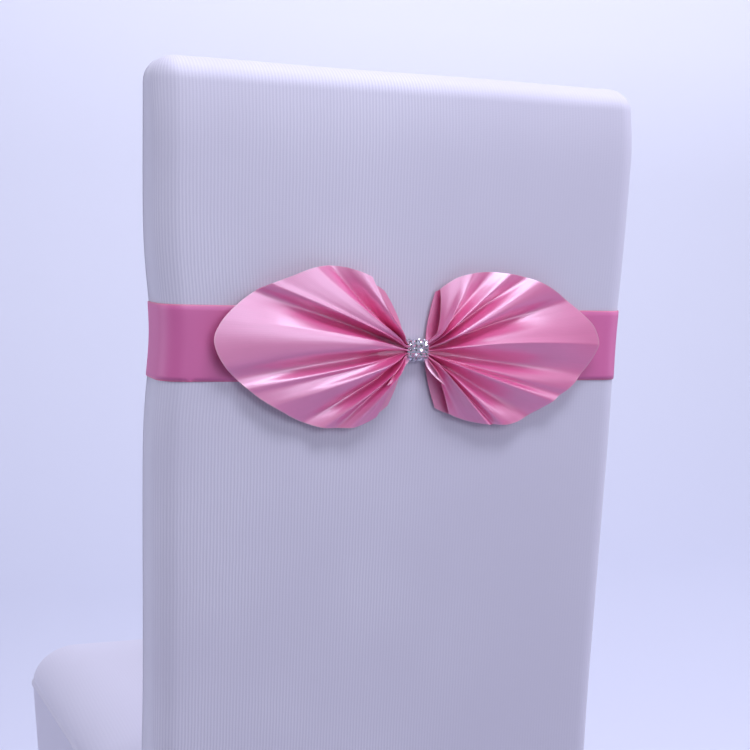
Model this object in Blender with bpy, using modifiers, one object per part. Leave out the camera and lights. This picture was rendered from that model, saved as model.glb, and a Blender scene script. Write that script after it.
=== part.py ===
"""Stretch cover for a high-backed dining chair, dressed with a satin sash and a pleated bow.

The cover is hollow: it is pulled over a chair from above, so its own pieces are thin cloth in the
shape that the chair gives them. Metres, X to the right seen from behind the chair, Y towards the
front of the seat, Z up. The origin is where the chair's top rail bears against the cover: the
middle of the pocket, at the underside of its top.
"""
import math

import bmesh
import bpy
from mathutils import Vector

COLLECTION = "chair_cover_with_sash"

# cloth
COVER_CLOTH = 0.0015
SATIN = 0.0010
SEAM_GAP = 0.0003
SASH_CLEARANCE = 0.0005

# backrest sleeve
BACK_HALF_WIDTH = 0.1977
BACK_TAPER = 0.0232
BACK_DEPTH = 0.055
BACK_LEAN = math.tan(math.radians(2.0))
BACK_ROUND = 0.018
BACK_ROUND_STEPS = 5
TOP_SOFTNESS = 1.6
TOP_SOFT_HEIGHT = 0.055
FRONT_ROUND = 0.006
FRONT_ROUND_STEPS = 2
SEAM_ALLOWANCE = 0.003
BACK_BULGE = 0.0020
FRONT_BULGE = 0.0060
BULGE_HEIGHT = 0.52
HEM_FLARE = 0.016
FLARE_START = 0.46
FLARE_RUN = 0.50
HEM_LEVEL = -1.0385
COLUMN_PITCH = 0.045
ROW_PITCH = 0.060

# seat and skirt
SEAM_LEVEL = -0.5795
SEAT_FRONT = 0.4335
SEAT_HALF_REAR = 0.204
SEAT_HALF_FRONT = 0.2228
SEAT_BLEND = 0.080
SEAT_CORNER = 0.042
SEAT_ROLL = 0.052
SEAT_RISE = 0.036
SEAT_DOME = 0.005
SEAT_BORDER = 0.003
SKIRT_DRAW = 0.026
SKIRT_HOLLOW = 0.006
SIDE_STEPS = 8
SIDE_EASE = 1.5
CORNER_STEPS = 6
FRONT_STEPS = 4
SKIRT_ROWS = 9
SEAT_COLUMNS = 10
SEAT_EASE = 1.3
MERGE_DISTANCE = 0.0001

# sash band
SASH_LEVEL = -0.2065
SASH_HEIGHT = 0.0557
SASH_ROWS = 4
SASH_PINCH_LEFT = 0.0056
SASH_PINCH_RIGHT = 0.0018
SASH_PINCH_SPAN = 0.0475
SASH_PINCH_RAISE = 0.0065
GATHER_REACH = 0.075
GATHER_STEPS = 4
GATHER_HALF_HEIGHT = 0.0055
GATHER_LIFT = 0.0019

# ring that gathers the bow
RING_X = 0.0064
RING_Z = -0.2101
RING_LENGTH = 0.0155
RING_HEIGHT = 0.0176
RING_DEPTH = 0.0096
RING_WALL = 0.0011
RING_ROUND = 0.0030
RING_ROUND_STEPS = 4
RING_CUTS = (-0.5, 0.0, 0.5)
RING_BARREL = 0.94
RING_STANDOFF = 0.0005

# bow, as offsets out from the back of the cover
BOW_CLOTH = 0.0012
BOW_X = 0.0054
WING_ROOT = 0.0088
WAIST_HALF_HEIGHT = 0.0055
FRONT_WAIST_OUT = 0.0073
BACK_WAIST_OUT = 0.0053
FRONT_MEAN_OUT = 0.0150
FRONT_RIM_OUT = 0.0095
BACK_MEAN_OUT = 0.0060
BOW_FAN_STEPS = 42
BOW_REACH_STEPS = 9
BACK_FAN_STEPS = 14
BACK_REACH_STEPS = 5
REACH_EASE = 1.4
FAN_STRAIGHT = 0.36
PLEATS_OPEN_AT = 0.45
LINING_OPEN_AT = 0.5

# Each row is one edge, ridge or valley of a wing, from its top edge down: the angles in degrees
# above the sash at which it leaves the ring and at which its end lies, the reach from the ring in
# mm, and how far the cloth stands out from the wing's mean level in mm, halfway and at the rim.
FOLD_COLUMNS = ("start", "angle", "reach", "mid_rise", "rim_rise")
LEFT_FOLDS = (
    (62.0, 60.6, 63.5, 3.0, 2.0),
    (52.0, 52.6, 76.8, -1.0, 0.0),
    (42.0, 45.0, 89.2, -5.0, -2.5),
    (32.0, 40.0, 96.5, 5.5, 3.0),
    (29.0, 29.5, 109.3, 1.0, 1.5),
    (27.0, 22.1, 123.0, -6.0, -2.0),
    (20.0, 13.0, 139.6, -1.0, -0.5),
    (12.0, 5.5, 150.9, 5.0, 1.5),
    (5.0, 0.8, 150.2, 2.0, 0.5),
    (-1.0, -3.9, 144.6, -5.5, -1.5),
    (-6.0, -8.9, 134.7, -3.0, -0.5),
    (-11.0, -15.4, 123.3, 3.5, 1.5),
    (-24.0, -24.0, 109.1, 0.5, -1.0),
    (-33.0, -34.0, 96.6, 4.0, 2.0),
    (-44.0, -42.0, 87.0, -4.5, -2.0),
    (-53.0, -48.9, 77.5, 3.0, 2.0),
    (-60.0, -54.8, 71.3, -2.5, -1.0),
    (-66.0, -63.4, 60.4, 2.5, 1.5),
    (-72.0, -68.0, 53.8, -1.0, -1.0),
)
RIGHT_FOLDS = (
    (48.0, 80.0, 48.0, -1.0, -1.0),
    (56.0, 70.3, 58.8, 3.0, 2.0),
    (54.0, 58.5, 70.7, -3.0, -1.5),
    (47.0, 48.4, 81.4, 2.0, 2.0),
    (38.0, 41.7, 89.8, -4.0, -2.0),
    (27.0, 34.5, 100.7, 5.0, 2.5),
    (19.0, 25.5, 114.2, -5.5, -2.0),
    (14.0, 14.6, 132.3, -2.0, -1.0),
    (9.0, 7.0, 146.0, 3.5, 0.5),
    (6.0, 2.0, 148.0, 5.5, 1.5),
    (-7.0, -4.1, 141.4, -4.5, -1.5),
    (-14.0, -10.8, 131.5, -3.0, -0.5),
    (-20.0, -21.1, 113.7, 4.5, 2.0),
    (-36.0, -28.3, 104.5, -4.0, -1.5),
    (-40.0, -36.7, 95.3, 3.5, 2.0),
    (-48.0, -44.4, 82.5, -2.5, -1.0),
    (-52.0, -50.0, 74.0, 3.5, 2.0),
    (-58.0, -57.0, 65.0, -2.0, -1.0),
    (-64.0, -66.0, 54.5, 2.0, 1.5),
    (-66.0, -74.0, 47.0, -1.0, -1.0),
)
# The layer behind shows past the pleated one only beside the ring.
LINING_COLUMNS = ("start", "angle", "reach")
LEFT_LINING = (
    (72.0, 66.0, 46.0),
    (55.0, 55.0, 66.0),
    (35.0, 35.0, 92.0),
    (10.0, 10.0, 135.0),
    (-10.0, -10.0, 122.0),
    (-35.0, -35.0, 86.0),
    (-60.0, -60.0, 62.0),
    (-86.0, -75.0, 44.0),
)
RIGHT_LINING = (
    (92.0, 82.0, 45.0),
    (65.0, 65.0, 58.0),
    (35.0, 35.0, 92.0),
    (10.0, 10.0, 130.0),
    (-10.0, -10.0, 120.0),
    (-35.0, -35.0, 88.0),
    (-60.0, -60.0, 60.0),
    (-86.0, -77.0, 46.0),
)
MM = 0.001


def smoothstep(value):
    """Ease from 0 to 1 while value goes from 0 to 1."""
    value = min(max(value, 0.0), 1.0)
    return value * value * (3.0 - 2.0 * value)


def half_width(level):
    """Half the width of the backrest, narrowing downward and flaring towards the hem."""
    flare = HEM_FLARE * smoothstep((-level - FLARE_START) / FLARE_RUN)
    return BACK_HALF_WIDTH + BACK_TAPER * level + flare


def lean(level):
    """How far the leaning backrest has come forward at this level; it is upright under the seat."""
    return BACK_LEAN * min(-level, -SEAM_LEVEL)


def pinch(x, level):
    """How far the tight sash draws the cover in at its sides."""
    depth = SASH_PINCH_LEFT if x < 0 else SASH_PINCH_RIGHT
    return depth * math.exp(-((level - SASH_LEVEL - SASH_PINCH_RAISE) / SASH_PINCH_SPAN) ** 2)


def bulge(x, level, depth):
    """Soft crown of the padded back, which is nothing at its edges and at the seat."""
    across = 1.0 - min(abs(x) / BACK_HALF_WIDTH, 1.0) ** 2
    along = math.sin(math.pi * min(max(-level / BULGE_HEIGHT, 0.0), 1.0))
    return depth * across * along


def back_face(x, level):
    """Y of the outer face of the cover's back."""
    return -BACK_DEPTH / 2 + lean(level) - bulge(x, level, BACK_BULGE)


def soften_top(y, level):
    """Roll the back's top edge further forward than its upright edges."""
    near_top = smoothstep(1.0 + level / TOP_SOFT_HEIGHT)
    roll = min(y + BACK_DEPTH / 2, BACK_ROUND)
    return y + max(roll, 0.0) * (TOP_SOFTNESS - 1.0) * near_top if y < 0 else y


def dress(point):
    """Move a point of the plain block to where it lies on the tapered, leaning backrest."""
    x, y, z = point
    y = soften_top(y, z)
    width = (half_width(z) - pinch(x, z)) / BACK_HALF_WIDTH
    frontward = max(y, 0.0) / (BACK_DEPTH / 2)
    backward = max(-y, 0.0) / (BACK_DEPTH / 2)
    crown = frontward * bulge(x, z, FRONT_BULGE) - backward * bulge(x, z, BACK_BULGE)
    return Vector((x * width, y + lean(z) + crown, z))


def new_object(name, mesh_source, material):
    """Turn a bmesh into a named object of the collection with its material."""
    mesh = bpy.data.meshes.new(name)
    mesh_source.to_mesh(mesh)
    mesh_source.free()
    mesh.materials.append(material)
    mesh.shade_smooth()
    obj = bpy.data.objects.new(name, mesh)
    bpy.data.collections[COLLECTION].objects.link(obj)
    return obj


def thicken(obj, thickness, side):
    """Give an open surface its cloth thickness: side -1 puts it inside, 1 outside."""
    wall = obj.modifiers.new("cloth", "SOLIDIFY")
    wall.thickness = thickness
    wall.offset = side
    wall.use_even_offset = True


def mirror_half(obj):
    """Complete a piece that is modelled as its right half."""
    twin = obj.modifiers.new("other_half", "MIRROR")
    twin.merge_threshold = MERGE_DISTANCE
    twin.use_clip = True


def make_material(name, colour, roughness, metallic=0.0):
    """Principled finish for one kind of cloth or metal."""
    material = bpy.data.materials.new(name)
    material.use_nodes = True
    shader = material.node_tree.nodes["Principled BSDF"]
    shader.inputs["Base Color"].default_value = (*colour, 1.0)
    shader.inputs["Roughness"].default_value = roughness
    shader.inputs["Metallic"].default_value = metallic
    return material


def whole(form):
    """All elements of a bmesh, as the cutting operators take them."""
    return list(form.verts) + list(form.edges) + list(form.faces)


def slice_form(form, position, normal, clear=None):
    """Cut a bmesh with a plane; clear "above" or "below" drops that side of it."""
    bmesh.ops.bisect_plane(
        form, geom=whole(form), plane_co=position, plane_no=normal,
        clear_outer=clear == "above", clear_inner=clear == "below")


def sash_levels():
    """Levels of the sash band's rows, which the cover repeats so that the two lie parallel."""
    step = SASH_HEIGHT / SASH_ROWS
    return [SASH_LEVEL - SASH_HEIGHT / 2 + step * row for row in range(SASH_ROWS + 1)]


def backrest_block(grow):
    """Rounded block in the outer shape of the covered backrest, cut into rows and columns."""
    height = COVER_CLOTH - HEM_LEVEL + ROW_PITCH
    width = 2 * (BACK_HALF_WIDTH + grow)
    depth = BACK_DEPTH + 2 * grow
    top = COVER_CLOTH + grow
    form = bmesh.new()
    bmesh.ops.create_cube(form, size=1.0)
    bmesh.ops.scale(form, vec=(width, depth, height), verts=form.verts)
    bmesh.ops.translate(form, vec=(0, 0, top - height / 2), verts=form.verts)
    soft_edges = []
    for edge in form.edges:
        middle = (edge.verts[0].co + edge.verts[1].co) / 2
        at_top = middle.z > top - grow - SEAM_GAP
        at_back = middle.y < -BACK_DEPTH / 2 + SEAM_GAP
        at_front = middle.y > BACK_DEPTH / 2 - SEAM_GAP
        upright = abs(edge.verts[0].co.z - edge.verts[1].co.z) > height / 2
        if (at_top and not at_front) or (upright and at_back):
            soft_edges.append(edge)
    bmesh.ops.bevel(
        form, geom=soft_edges, offset=BACK_ROUND + grow, offset_type="OFFSET",
        segments=BACK_ROUND_STEPS, profile=0.5, affect="EDGES", material=-1)
    front_face = max(form.faces, key=lambda face: face.calc_center_median().y)
    front_edges = [edge for edge in front_face.edges
                   if max(edge.verts[0].co.z, edge.verts[1].co.z) > HEM_LEVEL]
    bmesh.ops.bevel(
        form, geom=front_edges, offset=FRONT_ROUND + grow, offset_type="OFFSET",
        segments=FRONT_ROUND_STEPS, profile=0.5, affect="EDGES", material=-1)
    columns = int((BACK_HALF_WIDTH - BACK_ROUND) / COLUMN_PITCH)
    for column in range(-columns, columns + 1):
        slice_form(form, (column * COLUMN_PITCH, 0, 0), (1, 0, 0))
    levels = sash_levels()
    levels += [-ROW_PITCH * row for row in range(1, int(-HEM_LEVEL / ROW_PITCH) + 1)
               if abs(-ROW_PITCH * row - SASH_LEVEL) > SASH_HEIGHT / 2 + ROW_PITCH / 4]
    levels += [SASH_LEVEL - SASH_HEIGHT, SASH_LEVEL + SASH_HEIGHT]
    for level in levels:
        slice_form(form, (0, 0, level), (0, 0, 1))
    return form


def dress_all(form):
    """Give every point of a block its place on the backrest."""
    for vertex in form.verts:
        vertex.co = dress(vertex.co)
    bmesh.ops.recalc_face_normals(form, faces=form.faces)


def side_seam():
    """Y, before the lean, where the back panel ends and the front panel begins."""
    return BACK_DEPTH / 2 - FRONT_ROUND - SEAM_ALLOWANCE


def make_back_panel(material):
    """Outer back: one cloth that also wraps the top and both sides and hangs to the hem."""
    form = backrest_block(0.0)
    slice_form(form, (0, side_seam(), 0), (0, 1, 0), "above")
    slice_form(form, (0, 0, HEM_LEVEL), (0, 0, 1), "below")
    dress_all(form)
    panel = new_object("back_panel", form, material)
    thicken(panel, COVER_CLOTH, -1)


def make_front_panel(material):
    """Inner back: the padded face towards the sitter, from the top seam down to the seat."""
    form = backrest_block(0.0)
    slice_form(form, (0, side_seam() + SEAM_GAP, 0), (0, 1, 0), "below")
    slice_form(form, (0, 0, SEAM_LEVEL), (0, 0, 1), "below")
    dress_all(form)
    panel = new_object("front_panel", form, material)
    thicken(panel, COVER_CLOTH, -1)


def hem_share(level):
    """0 at the seat's seam, 1 at the hem."""
    return (SEAM_LEVEL - level) / (SEAM_LEVEL - HEM_LEVEL)


def seat_half(run, level):
    """Half the width of the seat or skirt, run metres in front of the back panel's side seam."""
    length = SEAT_FRONT - side_seam() - lean(SEAM_LEVEL)
    share = hem_share(level)
    seat = SEAT_HALF_REAR + (SEAT_HALF_FRONT - SEAT_HALF_REAR) * run / length
    draw = SKIRT_DRAW * share + SKIRT_HOLLOW * math.sin(math.pi * share) * math.sin(math.pi * run / length)
    blend = smoothstep(run / SEAT_BLEND)
    return half_width(level) * (1.0 - blend) + (seat - draw) * blend


def seat_front(x, level):
    """Y of the seat's or skirt's front, drawn in towards the hem and hollow between the corners."""
    share = hem_share(level)
    hollow = SKIRT_HOLLOW * math.sin(math.pi * share) * math.cos(math.pi * x / (2 * SEAT_HALF_FRONT))
    return SEAT_FRONT - SKIRT_DRAW * share - hollow


def skirt_outline(level):
    """Right half of the skirt's plan at one level, from the rear seam to the middle of the front."""
    rear = side_seam() + lean(level) + SEAM_GAP
    corner_y = seat_front(SEAT_HALF_FRONT, level) - SEAT_CORNER
    points = []
    for step in range(SIDE_STEPS):
        share = (step / SIDE_STEPS) ** SIDE_EASE
        y = rear + (corner_y - rear) * share
        points.append((seat_half(y - rear, level), y))
    corner_x = seat_half(corner_y - rear, level) - SEAT_CORNER
    for step in range(CORNER_STEPS):
        turn = math.pi / 2 * step / CORNER_STEPS
        points.append((corner_x + SEAT_CORNER * math.cos(turn), corner_y + SEAT_CORNER * math.sin(turn)))
    for step in range(FRONT_STEPS + 1):
        x = corner_x * (1.0 - step / FRONT_STEPS)
        points.append((x, seat_front(x, level) - seat_front(corner_x, level) + corner_y + SEAT_CORNER))
    return points


def make_skirt(material):
    """Skirt: one strip round both sides and the front, sewn to the seat and to the back panel."""
    form = bmesh.new()
    top = SEAM_LEVEL - SEAM_GAP
    row = [form.verts.new((x, y, top)) for x, y in skirt_outline(top)]
    edges = [form.edges.new(pair) for pair in zip(row, row[1:])]
    for step in range(1, SKIRT_ROWS + 1):
        level = top + (HEM_LEVEL - top) * step / SKIRT_ROWS
        made = bmesh.ops.extrude_edge_only(form, edges=edges)["geom"]
        edges = [item for item in made if isinstance(item, bmesh.types.BMEdge)]
        lower = [item for item in made if isinstance(item, bmesh.types.BMVert)]
        for vertex, (x, y) in zip(lower, skirt_outline(level)):
            vertex.co = (x, y, level)
    face_outward(form)
    skirt = new_object("skirt", form, material)
    mirror_half(skirt)
    thicken(skirt, COVER_CLOTH, -1)


def face_outward(form):
    """Turn the faces of the right half of a piece away from the chair's middle."""
    inside = Vector((0.0, SEAT_FRONT / 2, SEAM_LEVEL - SEAT_ROLL))
    bmesh.ops.recalc_face_normals(form, faces=form.faces)
    total = sum((face.calc_center_median() - inside).dot(face.normal) * face.calc_area()
                for face in form.faces)
    if total < 0:
        bmesh.ops.reverse_faces(form, faces=form.faces)


def seat_height(x, y):
    """Level of the crowned seat: rolled down to the seam at its sides and front, softly domed."""
    rear = BACK_DEPTH / 2 + lean(SEAM_LEVEL)
    corner_y = SEAT_FRONT - SEAT_CORNER
    half = seat_half(min(y, corner_y) - side_seam() - lean(SEAM_LEVEL), SEAM_LEVEL)
    corner_x = half - SEAT_CORNER
    if x > corner_x and y > corner_y:
        inset = SEAT_CORNER - math.hypot(x - corner_x, y - corner_y)
    else:
        inset = min(half - x, SEAT_FRONT - y)
    rolled = 1.0 - min(max(inset, 0.0) / SEAT_ROLL, 1.0)
    rise = SEAT_RISE * math.sqrt(max(1.0 - rolled ** 2, 0.0))
    along = (y - rear) / (SEAT_FRONT - rear)
    dome = SEAT_DOME * (1.0 - (x / half) ** 2) * math.sin(math.pi * min(max(along, 0.0), 1.0))
    return SEAM_LEVEL + SEAT_BORDER + rise + max(dome, 0.0)


def make_seat_panel(material):
    """Seat top: one crowned panel with round front corners, against the inner back at its rear."""
    rows = SIDE_STEPS + CORNER_STEPS
    form = bmesh.new()
    bmesh.ops.create_grid(form, x_segments=SEAT_COLUMNS, y_segments=rows, size=0.5)
    rear = BACK_DEPTH / 2 + lean(SEAM_LEVEL) + SEAM_GAP
    corner_y = SEAT_FRONT - SEAT_CORNER
    for vertex in form.verts:
        column = round((vertex.co.x + 0.5) * SEAT_COLUMNS)
        row = round((vertex.co.y + 0.5) * rows)
        if row <= SIDE_STEPS:
            y = rear + (corner_y - rear) * (row / SIDE_STEPS) ** SEAT_EASE
            half = seat_half(y - side_seam() - lean(SEAM_LEVEL), SEAM_LEVEL)
        else:
            turn = math.pi / 2 * (row - SIDE_STEPS) / CORNER_STEPS
            y = corner_y + SEAT_CORNER * math.sin(turn)
            half = seat_half(corner_y - side_seam() - lean(SEAM_LEVEL), SEAM_LEVEL)
            half += SEAT_CORNER * (math.cos(turn) - 1.0)
        x = half * math.sin(math.pi / 2 * column / SEAT_COLUMNS)
        on_rim = column == SEAT_COLUMNS or row == rows
        z = SEAM_LEVEL + SEAT_BORDER if on_rim else seat_height(x, y)
        if row == 0:
            y += lean(z) - lean(SEAM_LEVEL)
        vertex.co = (x, y, z)
    rim = [edge for edge in form.edges if edge.is_boundary
           and max(vertex.co.z for vertex in edge.verts) < SEAM_LEVEL + SEAT_BORDER + SEAM_GAP]
    made = bmesh.ops.extrude_edge_only(form, edges=rim)["geom"]
    lower = [item for item in made if isinstance(item, bmesh.types.BMVert)]
    bmesh.ops.translate(form, vec=(0, 0, -SEAT_BORDER), verts=lower)
    face_outward(form)
    seat = new_object("seat_panel", form, material)
    mirror_half(seat)
    thicken(seat, COVER_CLOTH, -1)


def gather(point):
    """Draw a point of the sash together where it passes through the ring behind the bow."""
    x, y, z = point
    away = (abs(x - RING_X) - RING_LENGTH / 2) / (GATHER_REACH - RING_LENGTH / 2)
    spread = smoothstep(away)
    tight = GATHER_HALF_HEIGHT / (SASH_HEIGHT / 2)
    height = (z - SASH_LEVEL) * (tight + (1.0 - tight) * spread)
    level = RING_Z + (SASH_LEVEL - RING_Z) * spread + height
    return Vector((x, y + lean(level) - lean(z) - GATHER_LIFT * (1.0 - spread), level))


def make_sash_band(material):
    """Sash: a satin loop round the backrest, gathered to the ring's height behind the bow."""
    form = backrest_block(SASH_CLEARANCE)
    levels = sash_levels()
    slice_form(form, (0, 0, levels[-1]), (0, 0, 1), "above")
    slice_form(form, (0, 0, levels[0]), (0, 0, 1), "below")
    for step in range(GATHER_STEPS + 1):
        distance = RING_LENGTH / 2 + (GATHER_REACH - RING_LENGTH / 2) * step / GATHER_STEPS
        for side in (-1, 1):
            slice_form(form, (RING_X + side * distance, 0, 0), (1, 0, 0))
    for vertex in form.verts:
        at_back = vertex.co.y < 0
        vertex.co = dress(vertex.co)
        if at_back:
            vertex.co = gather(vertex.co)
    bmesh.ops.recalc_face_normals(form, faces=form.faces)
    outward = sum(face.normal.dot(Vector((face.calc_center_median().x, 0, 0))) for face in form.faces)
    if outward < 0:
        bmesh.ops.reverse_faces(form, faces=form.faces)
    band = new_object("sash_band", form, material)
    thicken(band, SATIN, 1)


def make_ring(material):
    """Ring: a short barrel of oblong section that holds the sash and both layers of the bow."""
    form = bmesh.new()
    bmesh.ops.create_cube(form, size=1.0)
    bmesh.ops.scale(form, vec=(RING_LENGTH, RING_DEPTH, RING_HEIGHT), verts=form.verts)
    ends = [face for face in form.faces if abs(face.normal.x) > 0.5]
    bmesh.ops.delete(form, geom=ends, context="FACES_ONLY")
    lengthwise = [edge for edge in form.edges if abs(edge.verts[0].co.x - edge.verts[1].co.x) > 0]
    bmesh.ops.bevel(
        form, geom=lengthwise, offset=RING_ROUND, offset_type="OFFSET",
        segments=RING_ROUND_STEPS, profile=0.5, affect="EDGES", material=-1)
    for cut in RING_CUTS:
        slice_form(form, (cut * RING_LENGTH / 2, 0, 0), (1, 0, 0))
    for vertex in form.verts:
        share = vertex.co.x / (RING_LENGTH / 2)
        vertex.co.z *= 1.0 - (1.0 - RING_BARREL) * share ** 2
        vertex.co.y -= BACK_LEAN * vertex.co.z
    y = back_face(RING_X, RING_Z) - RING_STANDOFF - RING_DEPTH / 2
    bmesh.ops.recalc_face_normals(form, faces=form.faces)
    outward = sum(face.normal.dot(face.calc_center_median()) for face in form.faces)
    if outward < 0:
        bmesh.ops.reverse_faces(form, faces=form.faces)
    bmesh.ops.translate(form, vec=(RING_X, y, RING_Z), verts=form.verts)
    ring = new_object("bow_ring", form, material)
    thicken(ring, RING_WALL, -1)


def read_table(rows, columns, column, share):
    """Smooth value of one column of a table, at a share of the way down its rows."""
    place = columns.index(column)
    values = [row[place] for row in rows]
    spot = min(max(share, 0.0), 1.0) * (len(values) - 1)
    index = min(int(spot), len(values) - 2)
    part = spot - index
    before = values[max(index - 1, 0)]
    start = values[index]
    end = values[index + 1]
    after = values[min(index + 2, len(values) - 1)]
    slope_in = (end - before) / 2
    slope_out = (after - start) / 2
    square = part * part
    cube = square * part
    return ((2 * cube - 3 * square + 1) * start + (cube - 2 * square + part) * slope_in
            + (3 * square - 2 * cube) * end + (cube - square) * slope_out)


def wing_place(side, share, along, rows, columns):
    """X and Z of a point of a wing: share goes from its top edge down, along from ring to rim."""
    leaving = math.radians(read_table(rows, columns, "start", share))
    angle = math.radians(read_table(rows, columns, "angle", share))
    reach = read_table(rows, columns, "reach", share) * MM
    start = Vector((side * WING_ROOT, WAIST_HALF_HEIGHT * (1.0 - 2.0 * share)))
    rim = Vector((side * (WING_ROOT + reach * math.cos(angle)), reach * math.sin(angle)))
    bend = start + Vector((side * math.cos(leaving), math.sin(leaving))) * reach * FAN_STRAIGHT
    place = start * (1 - along) ** 2 + bend * 2 * along * (1 - along) + rim * along ** 2
    return place.x + BOW_X, place.y + RING_Z


def pleat_out(share, along, rows):
    """How far the pleated layer stands out from the cover."""
    opening = smoothstep(along / PLEATS_OPEN_AT)
    fading = smoothstep((along - PLEATS_OPEN_AT) / (1.0 - PLEATS_OPEN_AT))
    mean = FRONT_WAIST_OUT + (FRONT_MEAN_OUT - FRONT_WAIST_OUT) * opening
    mean += (FRONT_RIM_OUT - FRONT_MEAN_OUT) * fading
    mid_rise = read_table(rows, FOLD_COLUMNS, "mid_rise", share) * MM
    rim_rise = read_table(rows, FOLD_COLUMNS, "rim_rise", share) * MM
    return mean + opening * mid_rise * (1.0 - fading) + fading * rim_rise


def lining_out(along):
    """How far the flat layer behind stands out from the cover."""
    return BACK_WAIST_OUT + (BACK_MEAN_OUT - BACK_WAIST_OUT) * smoothstep(along / LINING_OPEN_AT)


def make_bow_layer(name, wings, fan_steps, reach_steps, out_of, material):
    """One cloth from the left wing's rim through the ring to the right wing's rim."""
    rows = []
    for reach in range(-reach_steps, reach_steps + 2):
        side = -1 if reach <= 0 else 1
        steps = -reach if reach <= 0 else reach - 1
        rows.append((side, (steps / reach_steps) ** REACH_EASE))
    form = bmesh.new()
    bmesh.ops.create_grid(form, x_segments=len(rows) - 1, y_segments=fan_steps, size=0.5)
    for vertex in form.verts:
        side, along = rows[round((vertex.co.x + 0.5) * (len(rows) - 1))]
        share = 0.5 - vertex.co.y
        table, columns = wings[side]
        x, z = wing_place(side, share, along, table, columns)
        vertex.co = (x, back_face(x, z) - out_of(share, along, table), z)
    skin = list(form.faces)
    made = bmesh.ops.extrude_face_region(form, geom=skin)["geom"]
    front = [item for item in made if isinstance(item, bmesh.types.BMVert)]
    bmesh.ops.translate(form, vec=(0, -BOW_CLOTH, 0), verts=front)
    bmesh.ops.recalc_face_normals(form, faces=form.faces)
    new_object(name, form, material)


def make_bow(material):
    """Bow: a pleated cloth in front and a plain one behind, both drawn through the ring."""
    pleated = {-1: (LEFT_FOLDS, FOLD_COLUMNS), 1: (RIGHT_FOLDS, FOLD_COLUMNS)}
    plain = {-1: (LEFT_LINING, LINING_COLUMNS), 1: (RIGHT_LINING, LINING_COLUMNS)}
    make_bow_layer("bow_front", pleated, BOW_FAN_STEPS, BOW_REACH_STEPS,
                   lambda share, along, table: pleat_out(share, along, table) - BOW_CLOTH, material)
    make_bow_layer("bow_back", plain, BACK_FAN_STEPS, BACK_REACH_STEPS,
                   lambda share, along, table: lining_out(along) - BOW_CLOTH, material)


def main():
    for old in list(bpy.data.objects):
        bpy.data.objects.remove(old)
    bpy.context.scene.collection.children.link(bpy.data.collections.new(COLLECTION))
    cover_knit = make_material("white_stretch_knit", (0.80, 0.80, 0.90), 0.75)
    satin = make_material("pink_satin", (0.74, 0.17, 0.42), 0.35)
    rhinestone = make_material("silver_rhinestone", (0.80, 0.81, 0.83), 0.15, 1.0)
    make_back_panel(cover_knit)
    make_front_panel(cover_knit)
    make_seat_panel(cover_knit)
    make_skirt(cover_knit)
    make_sash_band(satin)
    make_bow(satin)
    make_ring(rhinestone)


main()
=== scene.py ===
# %% [markdown]
# # Dressing a stretch chair cover with a satin sash and bow
# The real thing is a white stretch-knit cover that is pulled over a high-backed dining chair. A pink
# satin ribbon runs round the backrest, and a pleated bow sits on it, drawn through a small ring of
# rhinestones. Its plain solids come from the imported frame. This script replaces each of them with a
# finer piece of cloth in the same place, and gives every piece its finish.
#
# The frame is in metres: X to the right seen from behind the chair, Y towards the front of the seat,
# Z up, with the origin under the middle of the backrest's top.

import math

import bmesh
import bpy
from mathutils import Matrix, Vector, noise


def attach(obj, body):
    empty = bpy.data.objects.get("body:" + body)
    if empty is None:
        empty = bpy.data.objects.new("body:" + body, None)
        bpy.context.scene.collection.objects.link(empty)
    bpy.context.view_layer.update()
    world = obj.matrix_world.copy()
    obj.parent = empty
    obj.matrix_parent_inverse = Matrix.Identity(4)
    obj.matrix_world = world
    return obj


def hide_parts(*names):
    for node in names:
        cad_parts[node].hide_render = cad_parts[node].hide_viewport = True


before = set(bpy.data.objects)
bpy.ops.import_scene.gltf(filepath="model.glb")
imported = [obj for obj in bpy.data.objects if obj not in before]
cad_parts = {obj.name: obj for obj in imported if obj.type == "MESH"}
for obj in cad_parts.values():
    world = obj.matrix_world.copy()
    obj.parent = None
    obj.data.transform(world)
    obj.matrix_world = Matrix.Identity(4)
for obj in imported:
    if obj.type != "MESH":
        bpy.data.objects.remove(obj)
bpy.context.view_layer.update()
print("frame nodes:", sorted(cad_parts))

# %% [markdown]
# ## Driving sizes
# A cover takes the shape of the chair inside it: a backrest that narrows downward, leans two degrees
# and is softly padded, and a seat with round front corners. These are the frame's own sizes, because
# a finer piece has to lie where its plain one lies; only the padding's roll under the top edge is
# finer than the frame. Each function below gives one habit of that shape, so that panels, sash and
# bow all bend together.

# %% Sizes of the cover, as on the frame
MM = 0.001
BACK_HALF_WIDTH = 0.1977
BACK_TAPER = 0.0232
BACK_DEPTH = 0.055
BACK_LEAN = math.tan(math.radians(2.0))
BACK_ROUND = 0.018
TOP_SOFTNESS = 1.6
TOP_SOFT_HEIGHT = 0.055
PADDING_ROLL = 0.0085
PADDING_HEIGHT = 0.064
FRONT_ROUND = 0.006
SEAM_ALLOWANCE = 0.003
SEAM_GAP = 0.0003
BACK_BULGE = 0.0020
FRONT_BULGE = 0.0060
BULGE_HEIGHT = 0.52
HEM_FLARE = 0.016
FLARE_START = 0.46
FLARE_RUN = 0.50
HEM_LEVEL = -1.0385
COVER_TOP = 0.0015
SEAM_LEVEL = -0.5795
SEAT_FRONT = 0.4335
SEAT_HALF_REAR = 0.204
SEAT_HALF_FRONT = 0.2228
SEAT_BLEND = 0.080
SEAT_CORNER = 0.042
SEAT_ROLL = 0.052
SEAT_RISE = 0.036
SEAT_DOME = 0.005
SEAT_BORDER = 0.003
SKIRT_DRAW = 0.026
SKIRT_HOLLOW = 0.006
SASH_LEVEL = -0.2065
SASH_HEIGHT = 0.0557
SASH_CLEARANCE = 0.0005
SASH_PINCH_LEFT = 0.0056
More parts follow.
